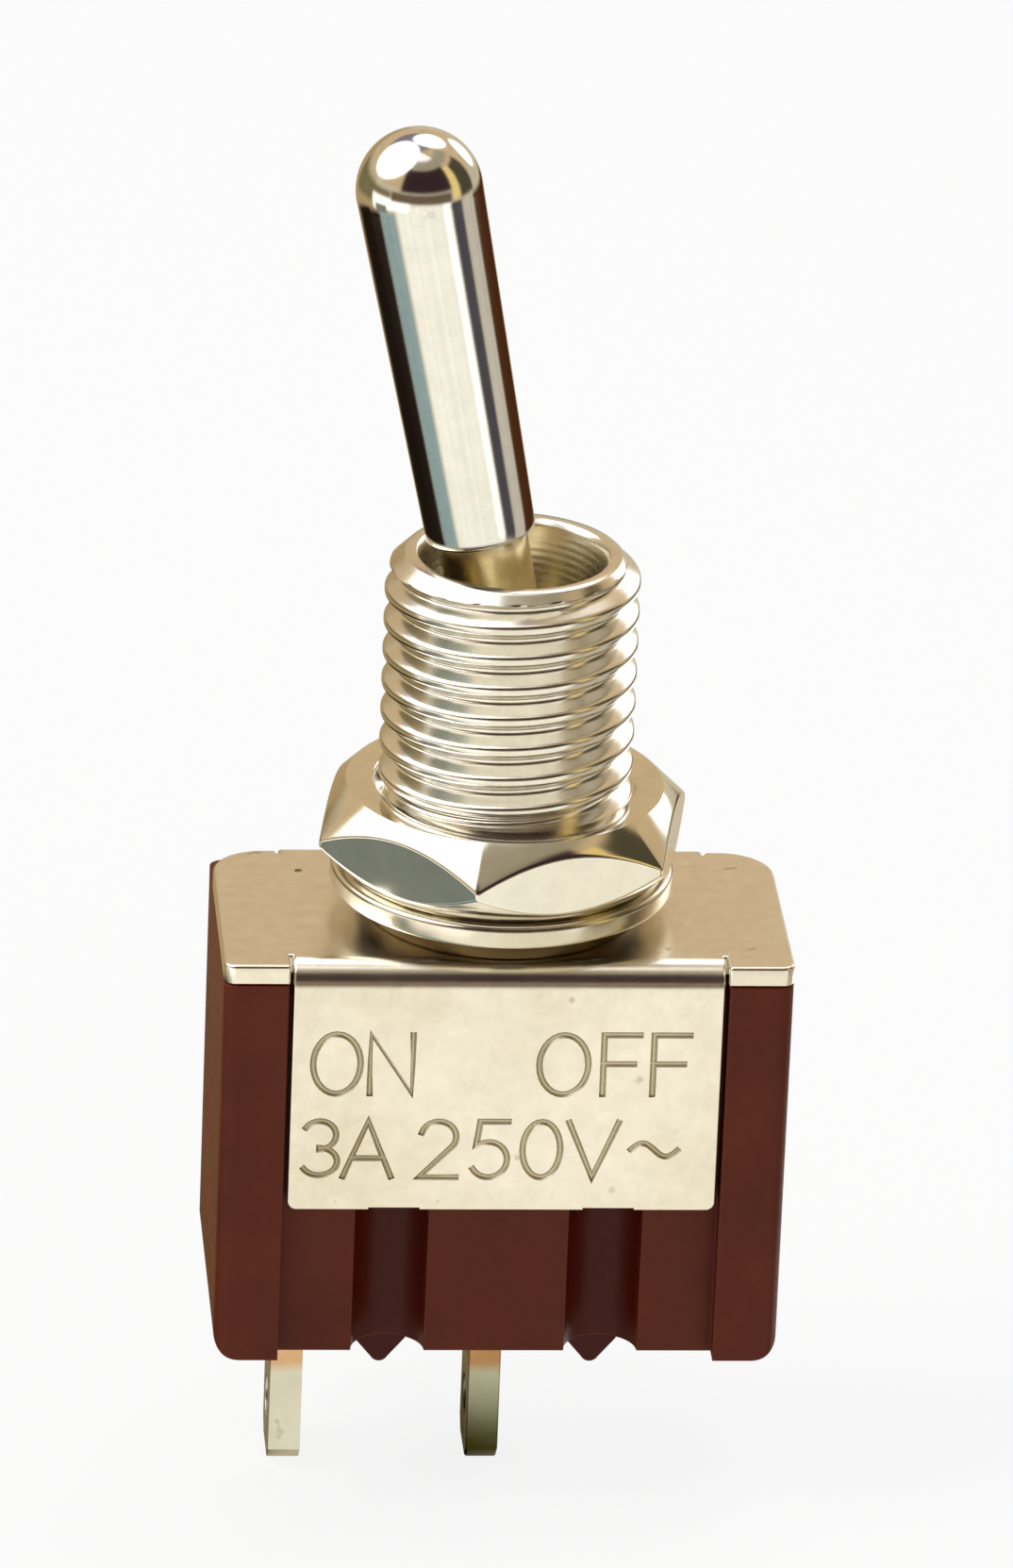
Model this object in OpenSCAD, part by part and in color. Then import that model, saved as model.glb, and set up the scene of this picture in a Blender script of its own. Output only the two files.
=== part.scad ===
// Miniature single-pole panel toggle switch.
// Origin: on the bushing's axis, at the bracket's top face.
// +Z points up the bushing, +X along the lever's swing, and -Y is the front.
// The lever is drawn tilted towards -X.

/* [Case] */
// Length of the case along the lever's swing
case_len = 13.2; // [12.6:0.1:16]
// Depth of the case across the lever's swing
case_depth = 7.3; // [7.2:0.1:9]
// Distance from the bracket's top face down to the base
case_height = 10.05; // [9.6:0.05:12.5]
// Thickness of the case's end walls
end_wall = 1.1; // [0.8:0.05:1.2]
// Thickness of the case's floor
floor_thick = 2.05; // [1.6:0.05:2.5]
// Radius of the case's upright edges
edge_r = 0.35; // [0.1:0.05:0.5]
// Radius of the base's end corners
foot_r = 0.6; // [0.2:0.05:1]
// Radius of the half-round grooves in the front and back
groove_r = 0.86; // [0.5:0.02:0.9]
// Distance of each groove from the case's middle
groove_x = 2.5; // [2.2:0.05:2.8]
// Height of the barrier ribs below the base
rib_height = 1.45; // [0.5:0.05:2]

/* [Bracket] */
// Thickness of the bracket's sheet
sheet = 0.5; // [0.4:0.05:0.6]
// Width of the flaps
flap_width = 10; // [9:0.1:10.6]
// Distance from the top face down to the flaps' lower edge
flap_drop = 6.2; // [5:0.1:7.5]
// Inner radius of the bends
bend_r = 0.4; // [0.2:0.05:0.5]
// Radius of the top plate's front corners, seen from above
front_corner_r = 0.3; // [0.1:0.05:1.2]
// Radius of the top plate's rear corners, seen from above
rear_corner_r = 1.2; // [0.3:0.1:1.5]

/* [Bushing] */
// Height of the bushing above the bracket
bushing_height = 8.85; // [7.5:0.05:11]
// Major radius of the bushing's thread
thread_r = 2.95; // [2.9:0.05:3.4]
// Pitch of the thread
thread_pitch = 0.75; // [0.5:0.05:0.8]
// Radius of the smooth collar at the thread's foot
collar_r = 3.2; // [3.1:0.05:3.6]
// Height of the collar
collar_height = 0.6; // [0.4:0.05:1]
// Radius of the lever's socket
socket_r = 1.85; // [1.8:0.01:1.9]
// Radius of the throat above the ball
throat_r = 1.55; // [1.5:0.01:1.6]
// Radius of the mouth at the rim
mouth_r = 2.2; // [2.05:0.05:2.25]

/* [Hardware] */
// Size of the nut across its flats
nut_flats = 8; // [7.5:0.1:10]
// Thickness of the nut
nut_thick = 2; // [1.5:0.1:2.5]
// Turn of the nut about the bushing, in degrees
nut_turn = 18.5; // [0:0.5:60]
// Outer radius of the lock washer
washer_r = 4; // [3.8:0.1:5]
// Thickness of the lock washer
washer_thick = 0.55; // [0.4:0.05:0.8]
// Number of the washer's inner teeth
washer_teeth = 10; // [6:1:12]

/* [Lever] */
// Tilt of the lever to each side of upright, in degrees
lever_tilt = 11.5; // [8:0.5:12]
// Depth of the lever's pivot below the bushing's rim
pivot_depth = 3.35; // [3.2:0.05:3.8]
// Length of the lever from its pivot to its tip
lever_len = 13.9; // [10:0.1:16]
// Radius of the bat below its domed tip
bat_top_r = 1.45; // [1.3:0.01:1.47]
// Radius of the bat at its lower end
bat_foot_r = 1.275; // [1.15:0.005:1.3]
// Distance from the pivot to the bat's lower end
bat_foot_s = 3.95; // [3.8:0.05:4.6]
// Radius of the neck below the bat
neck_r = 1.05; // [0.8:0.01:1.1]
// Radius of the lever's hollow tail
tail_r = 0.92; // [0.85:0.01:0.94]
// Radius of the cross pin
pin_r = 0.5; // [0.35:0.05:0.55]
// Length of the cross pin
pin_len = 4.4; // [4:0.1:4.5]

/* [Mechanism] */
// Height of the rocker's pivot above the case's floor
fulcrum_height = 3.2; // [2.9:0.05:3.5]
// Rocker's swing from one side to the other, in degrees
rocker_swing = 14; // [12:0.5:15]
// Width of the rocker's strip
rocker_width = 2.4; // [2:0.1:2.9]
// Thickness of the rocker's strip
rocker_thick = 0.4; // [0.3:0.02:0.5]
// Reach of each rocker arm from the pivot
rocker_reach = 4.55; // [4.3:0.05:4.7]
// Radius of the rocker's pivot lugs
lug_r = 0.3; // [0.25:0.01:0.35]
// Radius of the plunger
plunger_r = 0.56; // [0.5:0.01:0.68]
// Travel of the plunger into the tail
plunger_travel = 0.3; // [0.1:0.05:0.5]
// Wire radius of the plunger's spring
spring_wire_r = 0.09; // [0.06:0.01:0.1]
// Number of turns in the plunger's spring
spring_turns = 7; // [5:1:8]

/* [Terminals] */
// Distance between neighbouring terminals
terminal_pitch = 4.7; // [4.5:0.05:4.8]
// Thickness of the terminal blades
blade_thick = 0.76; // [0.6:0.02:0.9]
// Width of the terminal blades
blade_width = 2; // [1.7:0.1:2.2]
// Length of the blades below the base
blade_len = 4; // [3:0.1:6]
// Radius of the solder eyes
eye_r = 0.5; // [0.3:0.05:0.6]
// Radius of the silver contacts' heads
contact_r = 0.7; // [0.5:0.05:0.75]

/* [Hidden] */

// Clearances
run_gap = 0.04;
slide_gap = 0.03;
part_gap = 0.05;
contact_gap = 0.03;
swing_gap = 0.08;
cradle_gap = 0.12;
ear_gap = 0.07;

// Facets of a full circle, and the length by which a cutting shape passes what it cuts
fine = 64;
cut = 1;

// Heights in the case
base_z = -case_height;
floor_z = base_z + floor_thick;
case_top_z = -sheet;

// Faces of the case: the pillars stand proud of the recess by the sheet and a small margin
front_y = case_depth / 2;
recess_margin = 0.05;
recess_y = front_y - sheet - recess_margin;
recess_side_gap = 0.1;
recess_half_w = flap_width / 2 + recess_side_gap;
cavity_half_x = case_len / 2 - end_wall;

// Bushing
thread_depth = 0.614 * thread_pitch;
engaged_share = 0.41;
nut_bore_r = thread_r - engaged_share * thread_depth;
rim_chamfer = 0.45;
stake_height = 0.25;
bushing_foot_z = -sheet - stake_height;
keyway_width = 0.9;
keyway_depth = 0.45;
pivot_z = bushing_height - pivot_depth;
throat_z = pivot_z + sqrt(socket_r * socket_r - throat_r * throat_r);

// Hardware stacked on the collar
washer_z = collar_height;
nut_z = washer_z + washer_thick;
nut_top_z = nut_z + nut_thick;
nut_corner_r = nut_flats / sqrt(3);
nut_face_inset = 0.3;
nut_face_r = nut_flats / 2 - nut_face_inset;
nut_corner_land = 0.16;
washer_bore_r = thread_r + part_gap;
tooth_len = 0.4;
washer_ring_r = washer_bore_r + tooth_len;
tooth_share = 0.6;

// Lever, measured along its own axis from the pivot
ball_r = socket_r - run_gap;
dome_height = 1.55;
shank_top_s = lever_len - dome_height;
bat_len = shank_top_s - bat_foot_s;
tail_bore_r = plunger_r + slide_gap;
tail_end_s = 6.9;
tail_bore_top_s = 2.4;
spring_solid_len = 2 * spring_wire_r * spring_turns;
spring_slack = 1.04;
plunger_top_s = tail_bore_top_s + spring_solid_len + spring_slack + plunger_travel;

// The bore flares below the socket, so that the tail clears it at each end of the swing
flare_top_z = pivot_z - 4.1;
foot_reach = (pivot_z - bushing_foot_z) * tan(lever_tilt) + tail_r / cos(lever_tilt);
flare_r = foot_reach + swing_gap;

// Shank through the bracket, with a wall left round the flare, and the stake below it
shank_wall = 0.12;
shank_least_r = 2.55;
shank_r = max(shank_least_r, flare_r + shank_wall);
stake_lap = 0.15;
stake_r = shank_r + stake_lap;

// The bracket's plate is as long as the case, and its bends clear the stake
plate_len = case_len;
rear_setback = 0.5;
flap_y = recess_y + sheet;
inner_bend_r = min(bend_r, recess_y - stake_r);
outer_bend_r = inner_bend_r + sheet;
relief_w = 0.06;
relief_past_bend = 0.1;
seam_lap = 0.02;
relief_depth = outer_bend_r + relief_past_bend;

// Tongues of the flaps' lower edges, pressed into the case's grooves
crimp_width = 1.1;
crimp_side_gap = 0.05;
crimp_height = 0.5;
crimp_depth = 0.3;
crimp_rise = 0.08;

// Rocker, in its own level frame: a round trough, then an inner and an outer slope to each side
rocker_z = floor_z + fulcrum_height;
trough_r = 8;
inner_slope = 12.5;
outer_slope = rocker_swing / 2;
inner_end_x = 2.6;
trough_end_x = trough_r * sin(inner_slope);
trough_steps = 5;
function rocker_top(x) =
    x <= trough_end_x ? trough_r - sqrt(trough_r * trough_r - x * x)
    : x <= inner_end_x ? trough_r * (1 - cos(inner_slope)) + (x - trough_end_x) * tan(inner_slope)
    : rocker_top(inner_end_x) + (x - inner_end_x) * tan(outer_slope);

// Places along one rocker arm, from the pivot outwards, where its section has a point
rocker_stations = concat(
    [for (i = [0 : trough_steps]) trough_end_x * i / trough_steps],
    [inner_end_x, rocker_reach]
);

// Plunger: its round tip clears the trough with the lever upright
plunger_tip_z = rocker_z + rocker_thick / 2 + run_gap;
plunger_centre_s = pivot_z - plunger_tip_z - plunger_r;

// Contacts: the left pair meets when the rocker's left arm is down
contact_x = 3.75;
contact_head = 0.35;
rivet_r = 0.35;
rivet_lap = 0.15;
rivet_chamfer = 0.1;
rivet_head = 0.12;
arm_under_z = rocker_top(contact_x) - rocker_thick / 2;
closed_under_z = rocker_z + arm_under_z * cos(outer_slope) - contact_x * sin(outer_slope);
closed_contact_x = contact_x * cos(outer_slope) + arm_under_z * sin(outer_slope);
fixed_top_z = closed_under_z - contact_head - contact_gap;
pad_thick = 0.5;
pad_top_z = fixed_top_z - contact_head;
pad_margin = 0.15;
pad_inner_x = closed_contact_x - contact_r - pad_margin;

// Fulcrum bracket: its ears stand beside the rocker, and the cavity is as wide as they need
fulcrum_sheet = 0.35;
ear_inner_y = rocker_width / 2 + ear_gap;
ear_outer_y = ear_inner_y + fulcrum_sheet;
cavity_half_y = ear_outer_y + cradle_gap;
ear_half_w = 0.95;
ear_rise = 0.1;
fulcrum_half_len = 1.3;
ear_top_z = rocker_z + lug_r + ear_rise;
lug_inset = 0.02;
lug_half_len = ear_outer_y - lug_inset;
lug_len = 0.6;
stop_len = 1.2;
stake_tab_width = 1.2;
stake_tab_height = 0.2;

// Terminals
blade_tip_z = base_z - blade_len;
eye_rise = 1.3;
eye_z = blade_tip_z + eye_rise;
blade_tip_cut = 0.35;
shoulder_extra = 0.3;
shoulder_height = 0.6;
seal_len = 1.9;
seal_width = 3;
seal_depth = 0.45;
seal_proud = 0.12;
seal_step = 0.15;

// Barrier ribs below the base
rib_len = 1.4;
rib_root_half = 0.9;
rib_waist_half = 0.6;
rib_waist_rise = 0.6;
rib_tip_r = 0.22;

// Rounded rectangle, centred
module rounded_rect(len, width, r) {
    difference() {
        square([len, width], center = true);
        for (x = [-1, 1], y = [-1, 1])
            translate([x * len / 2, y * width / 2])
                corner_waste(x, y, r);
    }
}

// What a radius takes off a corner that lies at the origin, on sides x and y of its shape
module corner_waste(x, y, r) {
    difference() {
        square(2 * r, center = true);
        translate([-x * r, -y * r])
            circle(r, $fn = fine);
    }
}

// Places its children in the lever's frame, with +Z along the tilted lever
module lever_frame() {
    translate([0, 0, pivot_z])
        rotate([0, -lever_tilt, 0])
            children();
}

// Places its children in the rocker's frame, with its right arm down
module rocker_frame() {
    translate([0, 0, rocker_z])
        rotate([0, rocker_swing / 2, 0])
            children();
}

// Cylinder along Y, centred
module y_cylinder(r, len) {
    rotate([90, 0, 0])
        cylinder(h = len, r = r, center = true, $fn = fine);
}

// Outline of one face of the case, with rounded lower corners
module case_side_outline() {
    half = case_len / 2;
    difference() {
        translate([-half, base_z])
            square([case_len, case_height - sheet]);
        for (side = [-1, 1])
            translate([side * half, base_z])
                corner_waste(side, -1, foot_r);
    }
}

module case_block() {
    intersection() {
        rotate([90, 0, 0])
            linear_extrude(case_depth + 2 * cut, center = true)
                case_side_outline();
        translate([0, 0, base_z - cut])
            linear_extrude(case_height + 2 * cut)
                case_plan();
    }
}

// Plan of the case: pillars at its corners, a recess and two grooves on each long side
module case_plan() {
    difference() {
        rounded_rect(case_len, case_depth, edge_r);
        for (y = [-1, 1]) {
            translate([0, y * (recess_y + cut / 2)])
                square([2 * recess_half_w, cut], center = true);
            for (x = [-1, 1])
                translate([x * groove_x, y * recess_y])
                    circle(groove_r, $fn = fine);
        }
    }
}

// Rib below the base, between two terminals
module barrier_rib() {
    waist_z = rib_waist_rise - rib_height;
    tip_half = 0.7 * rib_tip_r;
    tip_z = 0.3 * rib_tip_r - rib_height;
    rotate([90, 0, 0])
        linear_extrude(rib_len, center = true)
            union() {
                polygon([
                    [-rib_root_half, 0],
                    [-rib_waist_half, waist_z],
                    [-tip_half, tip_z],
                    [tip_half, tip_z],
                    [rib_waist_half, waist_z],
                    [rib_root_half, 0]
                ]);
                translate([0, rib_tip_r - rib_height])
                    circle(rib_tip_r, $fn = fine);
            }
}

module blade_slot(x, depth) {
    translate([x, 0, floor_z + cut / 2 - depth / 2])
        cube([blade_thick, blade_width, depth + cut], center = true);
}

// Chamfer along the recess's top edge, inside the bracket's bend
module bend_chamfer() {
    size = inner_bend_r + cut;
    translate([0, -recess_y, case_top_z])
        rotate([90, 0, 90])
            linear_extrude(2 * recess_half_w, center = true)
                polygon([[-cut, -size], [-cut, cut], [size, cut]]);
}

module seal_pocket(x) {
    translate([x, 0, base_z + seal_depth / 2 - cut / 2])
        cube([seal_len, seal_width, seal_depth + cut], center = true);
}

module case() {
    stop_top = closed_under_z - part_gap;
    color([0.36, 0.15, 0.12])
        union() {
            difference() {
                case_block();
                translate([0, 0, floor_z + case_height / 2])
                    cube([2 * cavity_half_x, 2 * cavity_half_y, case_height], center = true);
                translate([0, 0, bushing_foot_z - part_gap])
                    cylinder(h = case_height, r = stake_r + part_gap, $fn = fine);
                for (x = [-terminal_pitch, 0]) {
                    blade_slot(x, floor_thick + cut);
                    seal_pocket(x);
                }
                seal_pocket(terminal_pitch);
                for (side = [0, 180])
                    rotate([0, 0, side])
                        bend_chamfer();
            }
            for (x = [-1, 1])
                translate([x * groove_x, 0, base_z])
                    barrier_rib();
            translate([contact_x, 0, (floor_z + stop_top) / 2])
                cube([stop_len, 2 * cavity_half_y, stop_top - floor_z], center = true);
        }
}

// Outline of the top plate, whose rear edge lies short of the rear bend's outer face
module plate_outline() {
    difference() {
        translate([-plate_len / 2, -flap_y])
            square([plate_len, 2 * flap_y - rear_setback]);
        for (x = [-1, 1]) {
            translate([x * plate_len / 2, -flap_y])
                corner_waste(x, -1, front_corner_r);
            translate([x * plate_len / 2, flap_y - rear_setback])
                corner_waste(x, 1, rear_corner_r);
        }
    }
}

module bracket_plate() {
    translate([0, 0, -sheet])
        linear_extrude(sheet)
            difference() {
                plate_outline();
                for (y = [-1, 1])
                    translate([0, y * flap_y])
                        square([flap_width + 2 * relief_w, 2 * relief_depth], center = true);
                circle(shank_r, $fn = fine);
            }
}

// Section of one bend and flap, drawn with the case's front towards -X
module flap_section() {
    union() {
        translate([-flap_y + outer_bend_r, -outer_bend_r])
            intersection() {
                difference() {
                    circle(outer_bend_r, $fn = fine);
                    circle(inner_bend_r, $fn = fine);
                }
                translate([-outer_bend_r, 0])
                    square(outer_bend_r);
            }
        translate([-flap_y, -flap_drop])
            square([sheet, flap_drop - outer_bend_r]);
        translate([-flap_y + outer_bend_r, -sheet])
            square([relief_past_bend + seam_lap, sheet]);
    }
}

module flap() {
    crimp_y = crimp_depth + sheet / 2 - flap_y;
    crimp_z = crimp_rise + crimp_height / 2 - flap_drop;
    union() {
        difference() {
            rotate([90, 0, 90])
                linear_extrude(flap_width, center = true)
                    flap_section();
            for (x = [-1, 1])
                translate([x * groove_x, -flap_y, -flap_drop])
                    cube([crimp_width + 2 * crimp_side_gap, 3 * sheet, 2 * crimp_rise], center = true);
        }
        for (x = [-1, 1])
            translate([x * groove_x, crimp_y, crimp_z])
                cube([crimp_width, sheet, crimp_height], center = true);
    }
}

module bracket() {
    color([0.8, 0.74, 0.62])
        union() {
            bracket_plate();
            flap();
            rotate([0, 0, 180])
                flap();
        }
}

module bushing_outside() {
    cylinder(h = collar_height, r = collar_r, $fn = fine);
    cylinder(h = nut_top_z, r = nut_bore_r, $fn = fine);
    translate([0, 0, nut_top_z])
        cylinder(h = bushing_height - rim_chamfer - nut_top_z, r = thread_r, $fn = fine);
    translate([0, 0, bushing_height - rim_chamfer])
        cylinder(h = rim_chamfer, r1 = thread_r, r2 = thread_r - rim_chamfer, $fn = fine);
    translate([0, 0, -sheet])
        cylinder(h = sheet, r = shank_r, $fn = fine);
    translate([0, 0, bushing_foot_z])
        cylinder(h = stake_height, r = stake_r, $fn = fine);
}

module bushing_bore() {
    translate([0, 0, pivot_z])
        sphere(socket_r, $fn = fine);
    translate([0, 0, flare_top_z])
        cylinder(h = pivot_z - flare_top_z, r = socket_r, $fn = fine);
    translate([0, 0, bushing_foot_z])
        cylinder(h = flare_top_z - bushing_foot_z, r1 = flare_r, r2 = socket_r, $fn = fine);
    translate([0, 0, throat_z])
        cylinder(h = bushing_height - throat_z, r1 = throat_r, r2 = mouth_r, $fn = fine);
}

// Slot that the cross pin slides up into from below
module pin_slot() {
    slot_half_len = pin_len / 2 + part_gap;
    slot_r = pin_r + run_gap;
    translate([0, 0, pivot_z])
        y_cylinder(slot_r, 2 * slot_half_len);
    translate([-slot_r, -slot_half_len, bushing_foot_z - cut])
        cube([2 * slot_r, 2 * slot_half_len, pivot_z - bushing_foot_z + cut]);
}

module bushing() {
    color([0.82, 0.78, 0.68])
        difference() {
            bushing_outside();
            bushing_bore();
            pin_slot();
            translate([-keyway_width / 2, thread_r - keyway_depth, collar_height])
                cube([keyway_width, thread_r, bushing_height]);
        }
}

// Double cone that chamfers both ends of the nut, leaving a short land on each corner
module nut_envelope() {
    rise = (nut_thick - nut_corner_land) / 2;
    reach = (nut_corner_r - nut_face_r) * nut_thick / (2 * rise);
    rotate_extrude($fn = fine)
        polygon([
            [0, 0],
            [nut_face_r, 0],
            [nut_face_r + reach, nut_thick / 2],
            [nut_face_r, nut_thick],
            [0, nut_thick]
        ]);
}

module hex_nut() {
    color([0.86, 0.82, 0.72])
        translate([0, 0, nut_z])
            difference() {
                intersection() {
                    rotate([0, 0, nut_turn])
                        cylinder(h = nut_thick, r = nut_corner_r, $fn = 6);
                    nut_envelope();
                }
                translate([0, 0, -cut])
                    cylinder(h = nut_thick + 2 * cut, r = nut_bore_r, $fn = fine);
            }
}

module lock_washer() {
    color([0.8, 0.72, 0.55])
        translate([0, 0, washer_z])
            linear_extrude(washer_thick)
                difference() {
                    circle(washer_r, $fn = fine);
                    circle(washer_bore_r, $fn = fine);
                    for (i = [0 : washer_teeth - 1])
                        rotate(i * 360 / washer_teeth)
                            tooth_gap();
                }
}

// Gap between two of the washer's teeth
module tooth_gap() {
    half = (1 - tooth_share) * 180 / washer_teeth;
    polygon([
        [0, 0],
        washer_ring_r * [cos(-half), sin(-half)],
        washer_ring_r * [1, 0],
        washer_ring_r * [cos(half), sin(half)]
    ]);
}

module lever() {
    color([0.9, 0.9, 0.88])
        lever_frame()
            difference() {
                union() {
                    lever_tip();
                    translate([0, 0, bat_foot_s])
                        cylinder(h = bat_len, r1 = bat_foot_r, r2 = bat_top_r, $fn = fine);
                    cylinder(h = bat_foot_s, r = neck_r, $fn = fine);
                    sphere(ball_r, $fn = fine);
                    translate([0, 0, -tail_end_s])
                        cylinder(h = tail_end_s, r = tail_r, $fn = fine);
                }
                translate([0, 0, -tail_end_s - cut])
                    cylinder(h = tail_end_s - tail_bore_top_s + cut, r = tail_bore_r, $fn = fine);
                y_cylinder(pin_r, 4 * ball_r);
            }
}

// Domed tip: a ball cut off where it meets the bat
module lever_tip() {
    tip_r = (dome_height * dome_height + bat_top_r * bat_top_r) / (2 * dome_height);
    translate([0, 0, shank_top_s])
        intersection() {
            translate([0, 0, dome_height - tip_r])
                sphere(tip_r, $fn = fine);
            cylinder(h = 2 * dome_height, r = bat_top_r, $fn = fine);
        }
}

module pivot_pin() {
    color([0.7, 0.7, 0.7])
        lever_frame()
            y_cylinder(pin_r, pin_len);
}

// Ring of points round one place on the spring's wire
function wire_ring(angle, z, coil_r, sides) = [
    for (i = [0 : sides - 1])
        let (a = i * 360 / sides, r = coil_r + spring_wire_r * cos(a))
            [r * cos(angle), r * sin(angle), z + spring_wire_r * sin(a)]
];

module plunger_spring() {
    sides = 6;
    steps_per_turn = 14;
    steps = steps_per_turn * spring_turns;
    coil_r = tail_bore_r - spring_wire_r - slide_gap;
    low = -plunger_top_s + spring_wire_r;
    rise = (plunger_top_s - tail_bore_top_s - 2 * spring_wire_r) / steps;
    points = [
        for (k = [0 : steps])
            each wire_ring(k * 360 * spring_turns / steps, low + k * rise, coil_r, sides)
    ];
    walls = [
        for (k = [0 : steps - 1], i = [0 : sides - 1])
            let (a = k * sides + i, b = k * sides + (i + 1) % sides)
                [a, a + sides, b + sides, b]
    ];
    first_end = [for (i = [0 : sides - 1]) i];
    last_end = [for (i = [sides - 1 : -1 : 0]) steps * sides + i];
    color([0.6, 0.6, 0.6])
        lever_frame()
            polyhedron(points, concat(walls, [first_end, last_end]), convexity = 10);
}

module plunger() {
    color([0.85, 0.8, 0.68])
        lever_frame() {
            translate([0, 0, -plunger_centre_s])
                cylinder(h = plunger_centre_s - plunger_top_s, r = plunger_r, $fn = fine);
            translate([0, 0, -plunger_centre_s])
                sphere(plunger_r, $fn = fine);
        }
}

module rocker_section() {
    top = [for (x = rocker_stations) [x, rocker_top(x) + rocker_thick / 2]];
    under = [for (x = rocker_stations) [x, rocker_top(x) - rocker_thick / 2]];
    count = len(rocker_stations);
    right = [for (p = top) p];
    left = [for (i = [count - 1 : -1 : 1]) [-top[i][0], top[i][1]]];
    right_under = [for (i = [count - 1 : -1 : 0]) under[i]];
    left_under = [for (i = [1 : count - 1]) [-under[i][0], under[i][1]]];
    polygon(concat(left, right, right_under, left_under));
}

module rocker() {
    color([0.78, 0.6, 0.35])
        rocker_frame()
            difference() {
                union() {
                    rotate([90, 0, 0])
                        linear_extrude(rocker_width, center = true)
                            rocker_section();
                    for (y = [-1, 1])
                        translate([0, y * (lug_half_len - lug_len / 2), 0])
                            y_cylinder(lug_r, lug_len);
                }
                contact_axis()
                    cylinder(h = 2 * cut, r = rivet_r, center = true, $fn = fine);
            }
}

// Places its children under the left arm, with +Z square to the arm and 0 at its underside
module contact_axis() {
    translate([-contact_x, 0, arm_under_z])
        rotate([0, outer_slope, 0])
            children();
}

module moving_contact() {
    arm_thick = rocker_thick * cos(outer_slope);
    lap_r = rivet_r + rivet_lap;
    color([0.88, 0.88, 0.86])
        rocker_frame()
            contact_axis() {
                translate([0, 0, -contact_head])
                    cylinder(h = contact_head, r = contact_r, $fn = fine);
                cylinder(h = arm_thick, r = rivet_r, $fn = fine);
                translate([0, 0, arm_thick])
                    cylinder(h = rivet_head, r1 = lap_r, r2 = lap_r - rivet_chamfer, $fn = fine);
            }
}

// Outline of one ear, with a round-bottomed notch for the rocker's lug
module ear_outline() {
    notch_r = lug_r + run_gap;
    difference() {
        translate([-ear_half_w, floor_z])
            square([2 * ear_half_w, ear_top_z - floor_z]);
        translate([0, rocker_z])
            circle(notch_r, $fn = fine);
        translate([-notch_r, rocker_z])
            square([2 * notch_r, cut]);
    }
}

module fulcrum_bracket() {
    color([0.8, 0.62, 0.3])
        difference() {
            union() {
                for (y = [-1, 1])
                    translate([0, y * (ear_inner_y + fulcrum_sheet / 2), 0])
                        rotate([90, 0, 0])
                            linear_extrude(fulcrum_sheet, center = true)
                                ear_outline();
                translate([-fulcrum_half_len, -ear_outer_y, floor_z])
                    cube([2 * fulcrum_half_len, 2 * ear_outer_y, fulcrum_sheet]);
            }
            translate([0, 0, floor_z])
                cube([blade_thick, stake_tab_width, 2 * cut], center = true);
        }
}

module fixed_contact() {
    color([0.88, 0.88, 0.86]) {
        translate([-closed_contact_x, 0, pad_top_z])
            cylinder(h = contact_head, r = contact_r, $fn = fine);
        translate([-closed_contact_x, 0, pad_top_z - pad_thick])
            cylinder(h = pad_thick, r = rivet_r, $fn = fine);
    }
}

// Outline of a blade's lower part, with cut-off tip corners and its solder eye
module blade_outline(top_z) {
    half = blade_width / 2;
    difference() {
        polygon([
            [-half, top_z],
            [-half, blade_tip_z + blade_tip_cut],
            [blade_tip_cut - half, blade_tip_z],
            [half - blade_tip_cut, blade_tip_z],
            [half, blade_tip_z + blade_tip_cut],
            [half, top_z]
        ]);
        translate([0, eye_z])
            circle(eye_r, $fn = fine);
    }
}

// Blade square to the X axis
module blade(x, top_z) {
    translate([x, 0, 0])
        rotate([90, 0, 90])
            linear_extrude(blade_thick, center = true)
                blade_outline(top_z);
}

module end_terminal() {
    shoulder_width = blade_width + 2 * shoulder_extra;
    pad_outer_x = terminal_pitch + blade_thick / 2;
    color([0.78, 0.78, 0.72])
        difference() {
            union() {
                blade(-terminal_pitch, pad_top_z);
                translate([-terminal_pitch, 0, floor_z + shoulder_height / 2])
                    cube([blade_thick, shoulder_width, shoulder_height], center = true);
                translate([-pad_outer_x, -blade_width / 2, pad_top_z - pad_thick])
                    cube([pad_outer_x - pad_inner_x, blade_width, pad_thick]);
            }
            translate([-closed_contact_x, 0, pad_top_z])
                cylinder(h = 2 * cut, r = rivet_r, center = true, $fn = fine);
        }
}

module common_terminal() {
    tab_top = floor_z + fulcrum_sheet + stake_tab_height;
    color([0.66, 0.66, 0.58])
        union() {
            blade(0, floor_z);
            translate([0, 0, (floor_z - cut + tab_top) / 2])
                cube([blade_thick, stake_tab_width, tab_top - floor_z + cut], center = true);
        }
}

// Resin round a blade, in its pocket in the base and a little proud of it
module terminal_seal(x) {
    proud_len = seal_len - 2 * seal_step;
    proud_width = seal_width - 2 * seal_step;
    color([0.75, 0.55, 0.33])
        difference() {
            union() {
                translate([x, 0, base_z + seal_depth / 2])
                    cube([seal_len, seal_width, seal_depth], center = true);
                translate([x, 0, base_z - seal_proud / 2])
                    cube([proud_len, proud_width, seal_proud], center = true);
            }
            translate([x, 0, base_z])
                cube([blade_thick, blade_width, 4 * cut], center = true);
        }
}

module end_terminal_seal() {
    terminal_seal(-terminal_pitch);
}

module common_terminal_seal() {
    terminal_seal(0);
}

case();
bracket();
bushing();
hex_nut();
lock_washer();
lever();
pivot_pin();
plunger_spring();
plunger();
rocker();
moving_contact();
fulcrum_bracket();
fixed_contact();
end_terminal();
common_terminal();
end_terminal_seal();
common_terminal_seal();
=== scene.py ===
"""Looks of a miniature panel toggle switch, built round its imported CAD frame.

The scene is in metres. The object's own sizes are given in millimetres and brought to metres by MM."""
import math

import bmesh
import bpy
from mathutils import Matrix, Vector


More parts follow.
